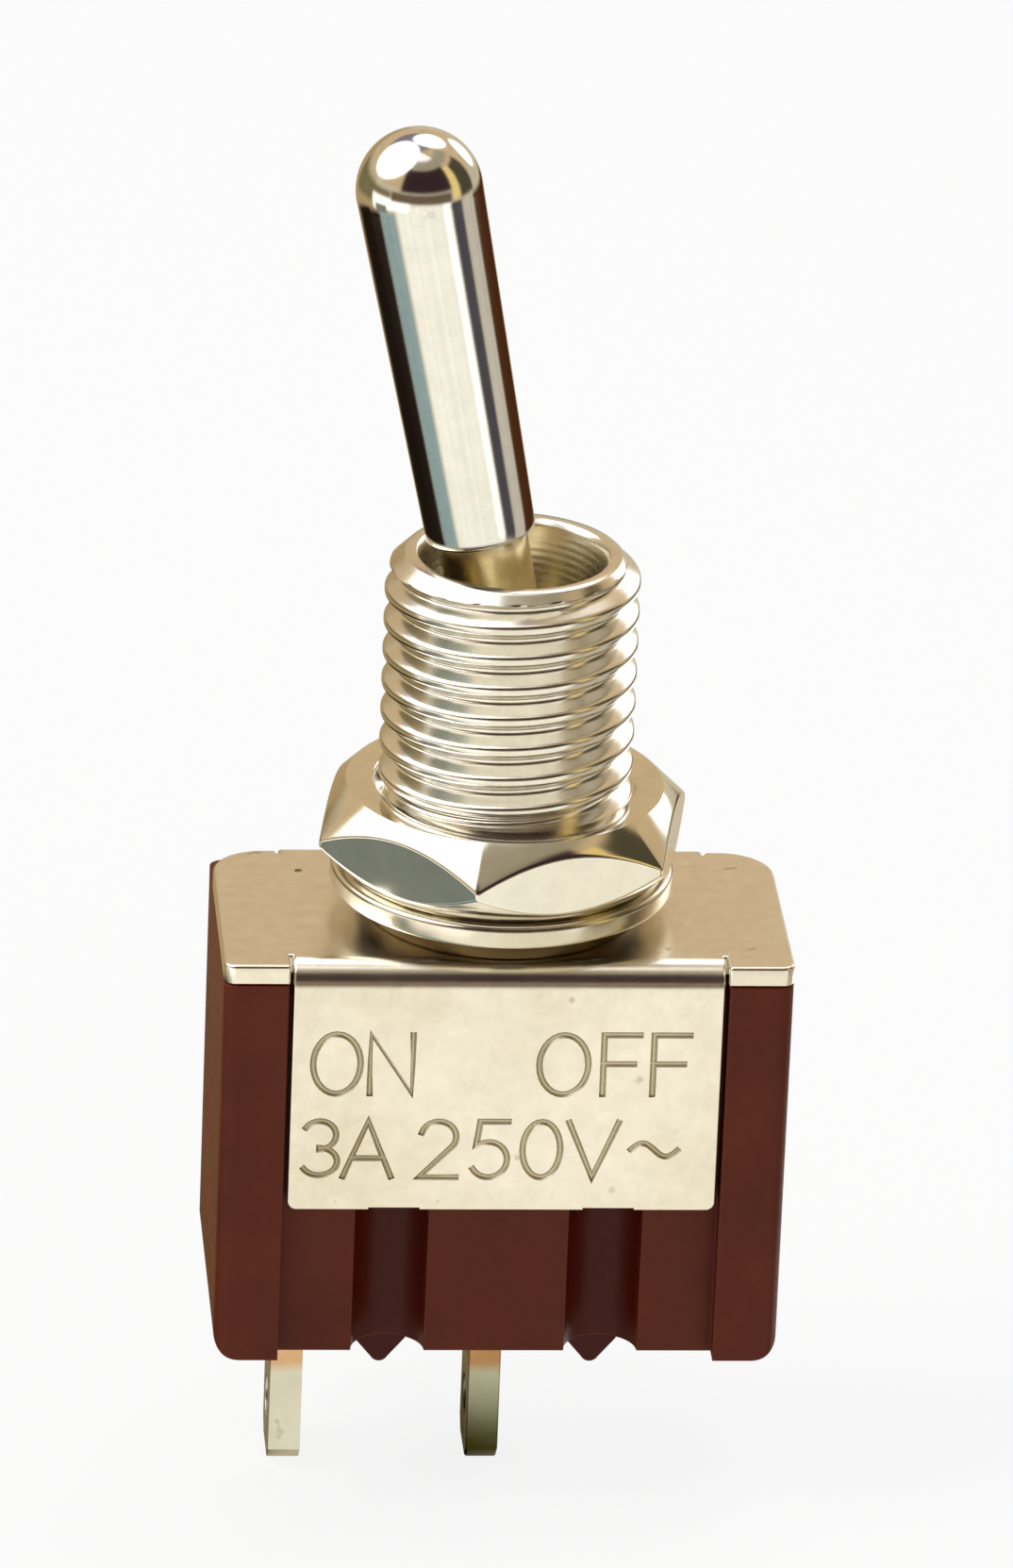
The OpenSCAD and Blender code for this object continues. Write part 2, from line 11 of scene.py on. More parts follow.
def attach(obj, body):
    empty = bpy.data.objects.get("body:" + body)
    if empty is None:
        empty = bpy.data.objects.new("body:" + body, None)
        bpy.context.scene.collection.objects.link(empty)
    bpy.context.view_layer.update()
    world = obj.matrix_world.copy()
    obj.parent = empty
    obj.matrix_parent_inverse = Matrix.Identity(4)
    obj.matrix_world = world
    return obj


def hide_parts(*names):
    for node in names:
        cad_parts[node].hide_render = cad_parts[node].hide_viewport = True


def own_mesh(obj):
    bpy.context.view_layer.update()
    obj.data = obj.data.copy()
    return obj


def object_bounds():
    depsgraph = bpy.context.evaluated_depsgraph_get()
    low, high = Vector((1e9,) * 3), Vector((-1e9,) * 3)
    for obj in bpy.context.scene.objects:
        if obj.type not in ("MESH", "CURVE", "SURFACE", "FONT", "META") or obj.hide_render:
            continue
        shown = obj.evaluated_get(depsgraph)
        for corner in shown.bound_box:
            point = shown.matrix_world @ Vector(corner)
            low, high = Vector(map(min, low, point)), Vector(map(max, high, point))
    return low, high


MM = 0.001
TINY = 1e-6
# How far, in millimetres, an extra row of points or a test of height lies off an edge
LIFT = 0.02

# Camera: viewing angles in degrees, distances in millimetres, and the focal length in pixels of an
# image IMAGE_HEIGHT pixels high
IMAGE_HEIGHT = 1662
CAMERA_AZIMUTH = 5.093
CAMERA_ELEVATION = 23.122
CAMERA_ROLL = 2.327
CAMERA_DISTANCE = 260.76
CAMERA_LENS_PX = 11854.5
CAMERA_SHIFT_RIGHT = 0.1574
CAMERA_SHIFT_UP = 2.8013
SENSOR = 36.0
# Where the camera's view starts and ends, in metres
CLIP_NEAR = 0.02
CLIP_FAR = 30.0

# Construction sizes that the CAD parts share, in millimetres and degrees, with Z from the top plate
SHEET = 0.5
FLAP_HALF = 5.0
FLAP_DROP = 6.2
PLATE_HALF = 6.6
PLATE_Y = 3.6
PLATE_REAR_Y = 3.1
FRONT_CORNER = 0.3
REAR_CORNER = 1.2
SHANK_R = 2.55
STAKE_R = 2.7
FOOT_Z = -0.75
COLLAR_R = 3.2
COLLAR_H = 0.6
THREAD_R = 2.95
THREAD_PITCH = 0.75
NUT_BORE_R = 2.761
NUT_Z = 1.15
NUT_H = 2.0
NUT_APOTHEM = 4.0
NUT_TURN = 18.5
BUSH_TOP = 8.85
RIM_CHAMFER = 0.45
MOUTH_R = 2.2
THROAT_R = 1.55
SOCKET_R = 1.85
FLARE_Z = 1.4
FLARE_R = 2.29
PIVOT_Z = 5.5
PIN_SLOT_R = 0.54
PIN_SLOT_REACH = 2.25
KEY_HALF = 0.45
KEY_FLOOR = 2.5
TILT = math.radians(11.5)


# ---------------------------------------------------------------- mesh helpers
def make_object(name, verts, faces, smooth_angle=None):
    """A mesh object from points in millimetres."""
    mesh = bpy.data.meshes.new(name)
    mesh.from_pydata([tuple(c * MM for c in v) for v in verts], [], faces)
    mesh.validate()
    obj = bpy.data.objects.new(name, mesh)
    bpy.context.scene.collection.objects.link(obj)
    tidy_mesh(obj)
    if smooth_angle is not None:
        shade(obj, smooth_angle)
    return obj


def tidy_mesh(obj):
    """Welds points that lie together, and turns every face outwards."""
    bm = bmesh.new()
    bm.from_mesh(obj.data)
    bmesh.ops.remove_doubles(bm, verts=bm.verts, dist=1e-8)
    bmesh.ops.recalc_face_normals(bm, faces=bm.faces)
    bm.to_mesh(obj.data)
    bm.free()


def shade(obj, angle):
    """Smooth shading, apart from edges sharper than the angle."""
    obj.data.shade_smooth()
    obj.data.set_sharp_from_angle(angle=math.radians(angle))


def grid_faces(columns, rows, closed_rows):
    """Quads of a grid that closes round its columns, and round its rows if asked."""
    last = rows if closed_rows else rows - 1
    faces = []
    for c in range(columns):
        d = (c + 1) % columns
        for r in range(last):
            s = (r + 1) % rows
            faces.append((c * rows + r, d * rows + r, d * rows + s, c * rows + s))
    return faces


def arc(cx, cy, r, start, end, steps):
    """Points of an arc, by angles in degrees."""
    pts = []
    for i in range(steps + 1):
        a = math.radians(start + (end - start) * i / steps)
        pts.append((cx + r * math.cos(a), cy + r * math.sin(a)))
    return pts


def turned(ring, theta, lift=0.0):
    """(r, z) points of a half section, turned about Z by an angle and lifted."""
    return [(r * math.cos(theta), r * math.sin(theta), lift + z) for r, z in ring]


def object_from(bm, name):
    """An object in the scene from a bmesh, which is freed."""
    mesh = bpy.data.meshes.new(name)
    bm.to_mesh(mesh)
    bm.free()
    obj = bpy.data.objects.new(name, mesh)
    bpy.context.scene.collection.objects.link(obj)
    return obj


def smoothstep(x):
    """0 up to 0, 1 from 1 on, smooth between."""
    x = min(1.0, max(0.0, x))
    return x * x * (3 - 2 * x)


def set_material(obj, material):
    obj.data.materials.clear()
    obj.data.materials.append(material)


# ---------------------------------------------------------------- bushing
THREAD_DEPTH = 0.37
THREAD_CREST = 0.035
THREAD_ROUND = 0.1
THREAD_SOFT = 0.05
THREAD_FLANK = math.radians(60)
THREAD_PHASE_Z = 7.52
THREAD_LOW_Z = COLLAR_H + 0.15
THREAD_RUN_IN = 0.5
THREAD_HIGH_Z = BUSH_TOP - RIM_CHAMFER
THREAD_ROWS = 28
BUSH_COLUMNS = 240
CONE_STEPS = 12
SOCKET_STEPS = 10
MOUTH_EDGE = 0.06
FOOT_EDGE = 0.05
COLLAR_LOW_EDGE = 0.04
COLLAR_TOP_EDGE = 0.06
KEY_WALL_SPLIT = 0.05
SLOT_CORNER_ANGLES = (12.9, 13.4, 13.9)
RIM_EDGE = 0.03


def thread_profile(t):
    """Depth below the crest, by place along the pitch, of a thread with rounded crests and roots."""
    off = abs(t - round(t)) * THREAD_PITCH - THREAD_CREST
    if off <= 0:
        return 0.0
    curved = THREAD_ROUND * math.sin(THREAD_FLANK)
    if off < curved:
        return THREAD_ROUND - math.sqrt(THREAD_ROUND ** 2 - off ** 2)
    depth = THREAD_ROUND * (1 - math.cos(THREAD_FLANK)) + (off - curved) * math.tan(THREAD_FLANK)
    over = depth - THREAD_DEPTH + THREAD_SOFT
    if over > 0:
        depth = THREAD_DEPTH - THREAD_SOFT * math.exp(-over / THREAD_SOFT)
    return depth


def thread_radius(z, theta):
    """Radius of the helical thread, which fades in above the collar."""
    t = (z - THREAD_PHASE_Z) / THREAD_PITCH - theta / (2 * math.pi)
    run_in = smoothstep((z - THREAD_LOW_Z) / THREAD_RUN_IN)
    return THREAD_R - run_in * thread_profile(t)


def outer_radius(z, theta):
    """Radius outside the collar's top: thread, rim chamfer and the flat floor of the keyway."""
    r = THREAD_R
    if z > THREAD_LOW_Z:
        r = thread_radius(z, theta)
    if z > THREAD_HIGH_Z:
        r = min(r, THREAD_R - (z - THREAD_HIGH_Z))
    x, y = abs(math.cos(theta)), math.sin(theta)
    if z > COLLAR_H and y > 0 and KEY_FLOOR * x < KEY_HALF * y:
        r = min(r, KEY_FLOOR / y)
    return r


def slot_half(z):
    """Half width, at a height, of the slot that the cross pin slides up into."""
    rise = max(0.0, z - PIVOT_Z)
    return math.sqrt(PIN_SLOT_R ** 2 - rise ** 2) if rise < PIN_SLOT_R else 0.0


def bore_radius(z, theta, plain):
    """Radius of the bore, reaching out to the walls of the pin slot where it has one."""
    half = slot_half(z)
    if half <= 0:
        return plain
    x, y = max(abs(math.cos(theta)), TINY), max(abs(math.sin(theta)), TINY)
    return max(plain, min(half / x, PIN_SLOT_REACH / y))


def bushing_columns():
    """Angles of the columns, with pairs at the keyway's walls and close ones at the pin slot."""
    angles = [i * 360 / BUSH_COLUMNS for i in range(BUSH_COLUMNS)]
    wall = math.degrees(math.atan2(KEY_FLOOR, KEY_HALF))
    for a in (wall, 180 - wall):
        angles += [a - KEY_WALL_SPLIT, a + KEY_WALL_SPLIT]
    for side in (90, 270):
        for d in SLOT_CORNER_ANGLES:
            angles += [side - d, side + d]
    return [math.radians(a) for a in sorted(set(angles))]


def bore_profile():
    """Points down the bore: the mouth's cone, the ball's socket and the flared foot."""
    throat_z = PIVOT_Z + math.sqrt(SOCKET_R ** 2 - THROAT_R ** 2)
    cone_top = BUSH_TOP - MOUTH_EDGE
    points = [(MOUTH_R + 0.05, BUSH_TOP)]
    for i in range(CONE_STEPS + 1):
        z = cone_top - (cone_top - throat_z) * i / CONE_STEPS
        points.append((THROAT_R + (MOUTH_R - THROAT_R) * (z - throat_z) / (BUSH_TOP - throat_z), z))
    for i in range(1, SOCKET_STEPS + 1):
        rise = (throat_z - PIVOT_Z) * (1 - i / SOCKET_STEPS)
        points.append((math.sqrt(SOCKET_R ** 2 - rise ** 2), PIVOT_Z + rise))
    return points + [(SOCKET_R, FLARE_Z), (FLARE_R, FOOT_Z)]


def foot_profile():
    """Points from the staked foot up the shank and over the collar."""
    edge = COLLAR_TOP_EDGE
    return [
        (STAKE_R - FOOT_EDGE, FOOT_Z),
        (STAKE_R, FOOT_Z + FOOT_EDGE),
        (STAKE_R, -SHEET),
        (SHANK_R, -SHEET),
        (SHANK_R, 0),
        (COLLAR_R - COLLAR_LOW_EDGE, 0),
        (COLLAR_R, COLLAR_LOW_EDGE),
        (COLLAR_R, COLLAR_H - edge),
        (COLLAR_R - edge / 3, COLLAR_H - edge / 3),
        (COLLAR_R - edge, COLLAR_H),
    ]


def rim_points(theta):
    """Points over the flat rim, which the keyway's floor cuts into."""
    rim_r = THREAD_R - RIM_CHAMFER
    points = []
    for r, z in ((rim_r + RIM_EDGE, BUSH_TOP - RIM_EDGE), (rim_r - RIM_EDGE / 3, BUSH_TOP)):
        points.append((min(r, outer_radius(z, theta) + 1e-4), z))
    return points + [(MOUTH_R + 0.09, BUSH_TOP)]


def bushing_mesh():
    """The threaded bushing as rings of points, one ring to each column."""
    inner = bore_profile()
    foot = foot_profile()
    thread_z = [COLLAR_H + 0.001]
    z = COLLAR_H + 0.05
    while z < BUSH_TOP - 0.04:
        thread_z.append(z)
        z += THREAD_PITCH / THREAD_ROWS
    columns = bushing_columns()
    verts = []
    for theta in columns:
        ring = [(bore_radius(z, theta, r), z) for r, z in inner] + foot
        ring += [(outer_radius(z, theta), z) for z in thread_z]
        ring += rim_points(theta)
        verts += turned(ring, theta)
    return verts, grid_faces(len(columns), len(ring), True)


def finish_bushing(obj, finishes):
    """Plating outside, a duller turned mouth, and a collar painted dark brown as shade."""
    for finish in finishes:
        obj.data.materials.append(finish)
    for face in obj.data.polygons:
        x, y, z = (c / MM for c in face.center)
        r = math.hypot(x, y)
        # Painted shade: the collar's faces take a dark brown metal that stands in for the shadow under the
        # washer.
        if z < COLLAR_H + LIFT and r > STAKE_R:
            face.material_index = 2
        elif z > FLARE_Z and r < MOUTH_R:
            face.material_index = 1


# ---------------------------------------------------------------- nut
NUT_FACE_R = 3.7
NUT_LAND = 0.16
NUT_CONE = (NUT_H - NUT_LAND) / 2 / (2 * NUT_APOTHEM / math.sqrt(3) - NUT_FACE_R)
NUT_CORNER_ROUND = 0.1
NUT_EDGE = 0.045
NUT_WAIST = 0.03
FACE_EDGE = 0.06
FACE_SINK = 0.008
COUNTERSINK = 0.28
SINK_EDGE = 0.03
CORNER_STEP = 0.4
FLAT_START = 2.5
FLAT_STEP = 1.25


def hexagon_radius(angle):
    """Radius of a hexagon with rounded corners, by the angle from the nut's turn in degrees."""
    off = (angle % 60) - 30
    a, rho = NUT_APOTHEM, NUT_CORNER_ROUND
    centre = (a - rho) / math.cos(math.radians(30))
    tangent = math.degrees(math.atan((a - rho) * math.tan(math.radians(30)) / a))
    if abs(off) <= tangent:
        return a / math.cos(math.radians(off))
    d = math.radians(30 - abs(off))
    return centre * math.cos(d) + math.sqrt(rho ** 2 - (centre * math.sin(d)) ** 2)


def nut_profile(flat_r):
    """One side of the nut, from its bore outwards over the top and down, at one angle."""
    e = NUT_EDGE
    top = NUT_H
    drop = min(max(0.0, (flat_r - NUT_FACE_R) * NUT_CONE), NUT_H / 2 - e - NUT_WAIST)
    pts = [
        (NUT_BORE_R, top - COUNTERSINK),
        (NUT_BORE_R + COUNTERSINK - SINK_EDGE, top - SINK_EDGE),
        (NUT_BORE_R + COUNTERSINK + SINK_EDGE, top),
        (NUT_FACE_R - FACE_EDGE, top),
        (NUT_FACE_R, top - FACE_SINK),
        (NUT_FACE_R + FACE_EDGE, top - FACE_EDGE * NUT_CONE - FACE_SINK / 2),
        (flat_r - e, top - max(0.0, drop - e * NUT_CONE) - FACE_SINK / 4),
        (flat_r - e * 0.3, top - drop - e * 0.12),
        (flat_r, top - drop - e),
        (flat_r, top - drop - e - LIFT),
    ]
    return pts + [(r, top - z) for r, z in reversed(pts)]


def nut_mesh():
    """The nut as rings of points, closest together at its six corners."""
    corner = [d * CORNER_STEP for d in range(5)]
    flat = [FLAT_START + d * FLAT_STEP for d in range(45)]
    angles = []
    for start in range(0, 360, 60):
        angles += [start + d for d in corner + flat]
        angles += [start + 60 - d for d in reversed(corner[1:])]
    verts = []
    for a in angles:
        ring = nut_profile(hexagon_radius(a))
        verts += turned(ring, math.radians(a + NUT_TURN), NUT_Z)
    return verts, grid_faces(len(angles), len(ring), True)


# ---------------------------------------------------------------- lever
# Lengths that end in _S, and the tail's, are along the lever's own axis from its pivot
BAT_FOOT_S = 3.95
BAT_TOP_S = 12.35
BAT_FOOT_R = 1.275
BAT_TOP_R = 1.45
LEVER_LEN = 13.9
NECK_R = 1.05
TAIL_R = 0.92
TAIL_END = -6.9
TAIL_BORE_R = 0.59
TAIL_BORE_TOP = -2.4
BALL_R = 1.81
BAT_TOP_EDGE = 0.012
BAT_FOOT_ROUND = 0.08
NECK_FILLET = 0.04
TAIL_EDGE = 0.06
TAIL_BORE_EDGE = 0.04
DOME_START = 88.5
DOME_STEPS = 40
BAT_STEPS = 24
FOOT_STEPS = 5
BALL_STEPS = 36
LEVER_COLUMNS = 160
LEVER_PLACE = Matrix.Translation((0, 0, PIVOT_Z)) @ Matrix.Rotation(-TILT, 4, "Y")


def lever_profile():
    """Half section of the lever, along its own axis from the pivot."""
    dome_h = LEVER_LEN - BAT_TOP_S
    dome_r = (dome_h ** 2 + BAT_TOP_R ** 2) / (2 * dome_h)
    dome_c = LEVER_LEN - dome_r
    end = math.degrees(math.asin((BAT_TOP_S - dome_c) / dome_r))
    pts = [(0.0, LEVER_LEN)]
    pts += arc(0, dome_c, dome_r, DOME_START, end, DOME_STEPS)
    pts += [(BAT_TOP_R, BAT_TOP_S - BAT_TOP_EDGE)]
    for i in range(1, BAT_STEPS):
        t = i / BAT_STEPS
        pts.append((BAT_TOP_R + (BAT_FOOT_R - BAT_TOP_R) * t, BAT_TOP_S + (BAT_FOOT_S - BAT_TOP_S) * t))
    foot_r = BAT_FOOT_ROUND
    pts += arc(BAT_FOOT_R - foot_r, BAT_FOOT_S + foot_r, foot_r, 0, -90, FOOT_STEPS)
    pts += [(NECK_R + NECK_FILLET, BAT_FOOT_S), (NECK_R, BAT_FOOT_S - NECK_FILLET)]
    ball_top = math.degrees(math.acos(NECK_R / BALL_R))
    ball_low = -math.degrees(math.acos(TAIL_R / BALL_R))
    pts += arc(0, 0, BALL_R, ball_top, ball_low, BALL_STEPS)
    pts += [(TAIL_R, TAIL_END + TAIL_EDGE), (TAIL_R - TAIL_EDGE, TAIL_END)]
    pts += [(TAIL_BORE_R + TAIL_BORE_EDGE, TAIL_END), (TAIL_BORE_R, TAIL_END + TAIL_BORE_EDGE)]
    pts += [(TAIL_BORE_R, TAIL_BORE_TOP), (0.0, TAIL_BORE_TOP)]
    return pts


def lathe(profile, columns, place):
    """A turned solid: the profile's first and last points lie on the axis."""
    body = profile[1:-1]
    rows = len(body)
    verts = []
    for c in range(columns):
        verts += turned(body, 2 * math.pi * c / columns)
    faces = grid_faces(columns, rows, False)
    top, low = len(verts), len(verts) + 1
    verts += [(0, 0, profile[0][1]), (0, 0, profile[-1][1])]
    for c in range(columns):
        d = (c + 1) % columns
        faces.append((top, d * rows, c * rows))
        faces.append((low, c * rows + rows - 1, d * rows + rows - 1))
    return [tuple(place @ Vector(v)) for v in verts], faces


def finish_lever(obj, plated, neck_reflection):
    """Chrome on the bat, and below its foot a yellowish metal that is a painted reflection of the bushing's
    mouth.
    """
    obj.data.materials.append(plated)
    obj.data.materials.append(neck_reflection)
    back = LEVER_PLACE.inverted()
    for face in obj.data.polygons:
        along = (back @ (face.center / MM)).z
        # Painted reflection: faces below the bat's foot take a yellowish metal for the warm mouth they
        # reflect.
        face.material_index = 1 if along < BAT_FOOT_S - LIFT else 0


# ---------------------------------------------------------------- washer
WASHER_Z = 0.6
WASHER_H = 0.55
WASHER_R = 4.0
WASHER_BORE = 3.0
WASHER_RING = 3.4
WASHER_TEETH = 10
TOOTH_SHARE = 0.6
WASHER_EDGE = 0.13
WASHER_BEVEL = 0.03
TOOTH_WALL_SPLIT = 0.1


def washer_mesh():
    """An internal-tooth ring with rolled rims."""
    outer = [(WASHER_R - WASHER_EDGE + x, WASHER_H - WASHER_EDGE + z)
             for x, z in arc(0, 0, WASHER_EDGE, 90, 0, 8)]
    outer += [(r, WASHER_H - z) for r, z in reversed(outer)]
    pitch = 360 / WASHER_TEETH
    half = pitch / 2 * TOOTH_SHARE
    split = TOOTH_WALL_SPLIT
    angles = []
    for k in range(WASHER_TEETH):
        start = pitch * k
        angles += [start - half - split, start - half + split, start + half - split, start + half + split]
        angles += [start + d * half / 4 for d in range(-3, 4)]
        angles += [start + half + d * (pitch - 2 * half) / 6 for d in range(1, 6)]
    verts = []
    for a in sorted(angles):
        off = (a + pitch / 2) % pitch - pitch / 2
        inner = WASHER_BORE if abs(off) < half else WASHER_RING
        ring = [(inner, WASHER_BEVEL), (inner, WASHER_H - WASHER_BEVEL), (inner + WASHER_BEVEL, WASHER_H)]
        ring += outer + [(inner + WASHER_BEVEL, 0)]
        verts += turned(ring, math.radians(a), WASHER_Z)
    return verts, grid_faces(len(angles), len(ring), True)


# ---------------------------------------------------------------- bracket
RELIEF_W = 0.06
RELIEF_Y = 2.94
BEND_OUT = 0.6
BEND_STEPS = 16
SHEET_EDGE = 0.07
EDGE_STEPS = 5
ARC_STEP = 0.16
BLANK_REACH = PLATE_Y - BEND_OUT + BEND_OUT * math.pi / 2 + FLAP_DROP - BEND_OUT
FLAP_CORNER = 0.22
LIP_CORNER = 0.09
NOTCH_X = 2.5
NOTCH_W = 1.2
NOTCH_RISE = 0.08
TONGUE_HALF = 0.55
TONGUE_H = 0.5
TONGUE_PRESS = 0.3
# Top and foot of each line of lettering
FIRST_LINE = (-1.71, -3.22)
SECOND_LINE = (-3.92, -5.34)
STROKE_WIDTH = 0.125
STROKE_DEPTH = 0.05
STROKE_FLOOR = 0.22
CUTTER_PROUD = 0.06
PIT = (-4.6, 1.9, 0.01)
PIT_R = 0.1
PIT_HEIGHT = 0.14
PIT_STEPS = 14
ENGRAVED_SMOOTH = 28


def rounded_outline(corners):
    """Outline from (x, y, radius) corners, counterclockwise, with an arc at each."""
    pts = []
    count = len(corners)
    for i, (x, y, r) in enumerate(corners):
        here = Vector((x, y))
        if r <= 0:
            pts.append((x, y))
            continue
        back = (Vector(corners[i - 1][:2]) - here).normalized()
        ahead = (Vector(corners[(i + 1) % count][:2]) - here).normalized()
        half = back.angle(ahead) / 2
        centre = here + (back + ahead).normalized() * (r / math.sin(half))
        start = here + back * (r / math.tan(half)) - centre
        end = here + ahead * (r / math.tan(half)) - centre
        turn = math.atan2(start.x * end.y - start.y * end.x, start.dot(end))
        steps = max(3, int(abs(turn) / ARC_STEP))
        for k in range(steps + 1):
            a = turn * k / steps
            pts.append((centre.x + start.x * math.cos(a) - start.y * math.sin(a),
                        centre.y + start.x * math.sin(a) + start.y * math.cos(a)))
    return pts


def inset_outline(pts, d):
    """The outline moved inwards by d, point by point."""
    out = []
    count = len(pts)
    for i in range(count):
        a, b, c = Vector(pts[i - 1]), Vector(pts[i]), Vector(pts[(i + 1) % count])
        n1, n2 = (b - a).normalized(), (c - b).normalized()
        inward = Vector((-n1.y - n2.y, n1.x + n2.x))
        step = inward / max(inward.length_squared / 2, 0.3)
        out.append((b.x + step.x * d, b.y + step.y * d))
    return out


def pillow_prism(outline, low, high, edge):
    """A sheet from an outline between two heights, with its edges rounded."""
    levels = []
    for k in range(EDGE_STEPS + 1):
        a = math.radians(90 * k / EDGE_STEPS)
        levels.append((edge * (1 - math.sin(a)), low + edge * (1 - math.cos(a))))
    rings = levels + [(d, high - (z - low)) for d, z in reversed(levels)]
    verts, faces = [], []
    n = len(outline)
    for d, z in rings:
        verts += [(x, y, z) for x, y in inset_outline(outline, d)]
    for r in range(len(rings) - 1):
        for i in range(n):
            j = (i + 1) % n
            faces.append((r * n + i, r * n + j, (r + 1) * n + j, (r + 1) * n + i))
    faces.append(tuple(reversed(range(n))))
    faces.append(tuple((len(rings) - 1) * n + i for i in range(n)))
    return verts, faces


def blank_outline():
    """The bracket's flat blank: a plate with lips beside two flaps."""
    slit = FLAP_HALF + RELIEF_W
    quarter = [(FLAP_HALF, BLANK_REACH, FLAP_CORNER), (FLAP_HALF, RELIEF_Y, 0), (slit, RELIEF_Y, 0)]
    rear = quarter + [(slit, PLATE_REAR_Y, LIP_CORNER), (PLATE_HALF, PLATE_REAR_Y, REAR_CORNER)]
    front = quarter + [(slit, PLATE_Y, LIP_CORNER), (PLATE_HALF, PLATE_Y, FRONT_CORNER)]
    corners = [(x, -y, r) for x, y, r in front]
    corners += [(x, y, r) for x, y, r in reversed(rear)]
    corners += [(-x, y, r) for x, y, r in rear]
    corners += [(-x, -y, r) for x, y, r in reversed(front)]
    return rounded_outline(corners)


def fold(v):
    """Where a point of the blank lies once its flap is folded down."""
    start = PLATE_Y - BEND_OUT
    run = abs(v.y) - start
    if run <= 0 or abs(v.x) > FLAP_HALF + RELIEF_W / 2:
        return v
    side = 1 if v.y > 0 else -1
    radius = BEND_OUT + v.z
    bend = BEND_OUT * math.pi / 2
    if run < bend:
        a = run / BEND_OUT
        return Vector((v.x, side * (start + radius * math.sin(a)), radius * math.cos(a) - BEND_OUT))
    return Vector((v.x, side * (start + radius), -BEND_OUT - (run - bend)))


def bracket_body():
    """The blank as a thin solid with rounded edges, cut into rows across its bends and folded."""
    verts, faces = pillow_prism(blank_outline(), -SHEET, 0, SHEET_EDGE)
    bm = bmesh.new()
    points = [bm.verts.new(v) for v in verts]
    for face in faces:
        bm.faces.new([points[i] for i in face])
    bm.normal_update()
    caps = [f for f in bm.faces if len(f.verts) > 4]
    bmesh.ops.triangulate(bm, faces=caps, ngon_method="EAR_CLIP")
    start = PLATE_Y - BEND_OUT
    for side in (-1, 1):
        for k in range(BEND_STEPS + 1):
            y = side * (start + BEND_OUT * math.pi / 2 * k / BEND_STEPS)
            bmesh.ops.bisect_plane(bm, geom=bm.verts[:] + bm.edges[:] + bm.faces[:], dist=1e-5,
                                   plane_co=(0, y, 0), plane_no=(0, 1, 0))
    for v in bm.verts:
        v.co = fold(v.co) * MM
    bmesh.ops.recalc_face_normals(bm, faces=bm.faces)
    return object_from(bm, "bracket_folded")


def ellipse(cx, cz, rx, rz, start=0.0, end=360.0, steps=28):
    """Points round an ellipse, or along a part of it, by angles in degrees."""
    return [(cx + rx * math.cos(math.radians(start + (end - start) * i / steps)),
             cz + rz * math.sin(math.radians(start + (end - start) * i / steps)))
            for i in range(steps + (0 if end - start == 360 else 1))]


def position_strokes(top, low):
    """ON and OFF as (points, closed), in X and Z."""
    mid, half = (top + low) / 2, (top - low) / 2
    strokes = [
        (ellipse(-3.94, mid, 0.55, half), True),
        ([(-3.16, low), (-3.16, top), (-2.19, low), (-2.19, top)], False),
        (ellipse(1.32, mid, 0.57, half), True),
    ]
    for x in (2.24, 3.40):
        strokes.append(([(x + 0.84, top), (x, top), (x, low)], False))
        strokes.append(([(x, mid + 0.02), (x + 0.72, mid + 0.02)], False))
    return strokes


def rating_strokes(top, low):
    """A plain rating, 3A 250V~, as (points, closed), in X and Z."""
    mid = (top + low) / 2
    three = ellipse(-4.28, top - 0.36, 0.38, 0.36, 150, -90, 16)
    three += ellipse(-4.28, low + 0.39, 0.42, 0.35, 90, -150, 18)
    two = ellipse(-1.52, top - 0.40, 0.41, 0.40, 165, -30, 18) + [(-1.94, low), (-1.08, low)]
    five = [(0.10, top), (-0.56, top), (-0.64, mid + 0.10)]
    five += ellipse(-0.34, low + 0.45, 0.43, 0.45, 120, -150, 20)
    wave = [(2.96 + 1.1 * i / 16, mid + 0.17 * math.sin(i / 16 * 2 * math.pi)) for i in range(17)]
    return [
        (three, False),
        ([(-3.72, low), (-3.16, top), (-2.60, low)], False),
        ([(-3.52, low + 0.48), (-2.80, low + 0.48)], False),
        (two, False),
        (five, False),
        (ellipse(0.88, mid, 0.44, 0.71), True),
        ([(1.50, top), (2.08, low), (2.66, top)], False),
        (wave, False),
    ]


def stroke_cutter(points, closed, width, depth):
    """A prism along a stroke that cuts a groove with sloping walls into the front flap."""
    pts = [Vector(p) for p in points]
    count = len(pts)
    sides = []
    for i, p in enumerate(pts):
        before = pts[i - 1] if closed or i else None
        after = pts[(i + 1) % count] if closed or i < count - 1 else None
        n1 = (p - before).normalized() if before is not None else (after - p).normalized()
        n2 = (after - p).normalized() if after is not None else n1
        across = Vector((-n1.y - n2.y, n1.x + n2.x))
        sides.append(across / max(across.length_squared / 2, 0.35))
    front, floor = -PLATE_Y - CUTTER_PROUD, -PLATE_Y + depth
    outer, inner = width / 2 * (depth + CUTTER_PROUD) / depth, width * STROKE_FLOOR
    verts = []
    for i, (p, side) in enumerate(zip(pts, sides)):
        end = 0.0
        if not closed and i in (0, count - 1):
            end = width / 2 * (1 if i else -1)
        run = Vector((side.y, -side.x)).normalized() * end
        for reach, y in ((outer, front), (inner, floor), (-inner, floor), (-outer, front)):
            q = p + side * reach + run
            verts.append((q.x, y, q.y))
    if closed:
        return verts, grid_faces(count, 4, True)
    faces = [f for f in grid_faces(count, 4, True) if max(f) - min(f) < 8]
    faces += [(0, 1, 2, 3), tuple(4 * (count - 1) + k for k in (3, 2, 1, 0))]
    return verts, faces


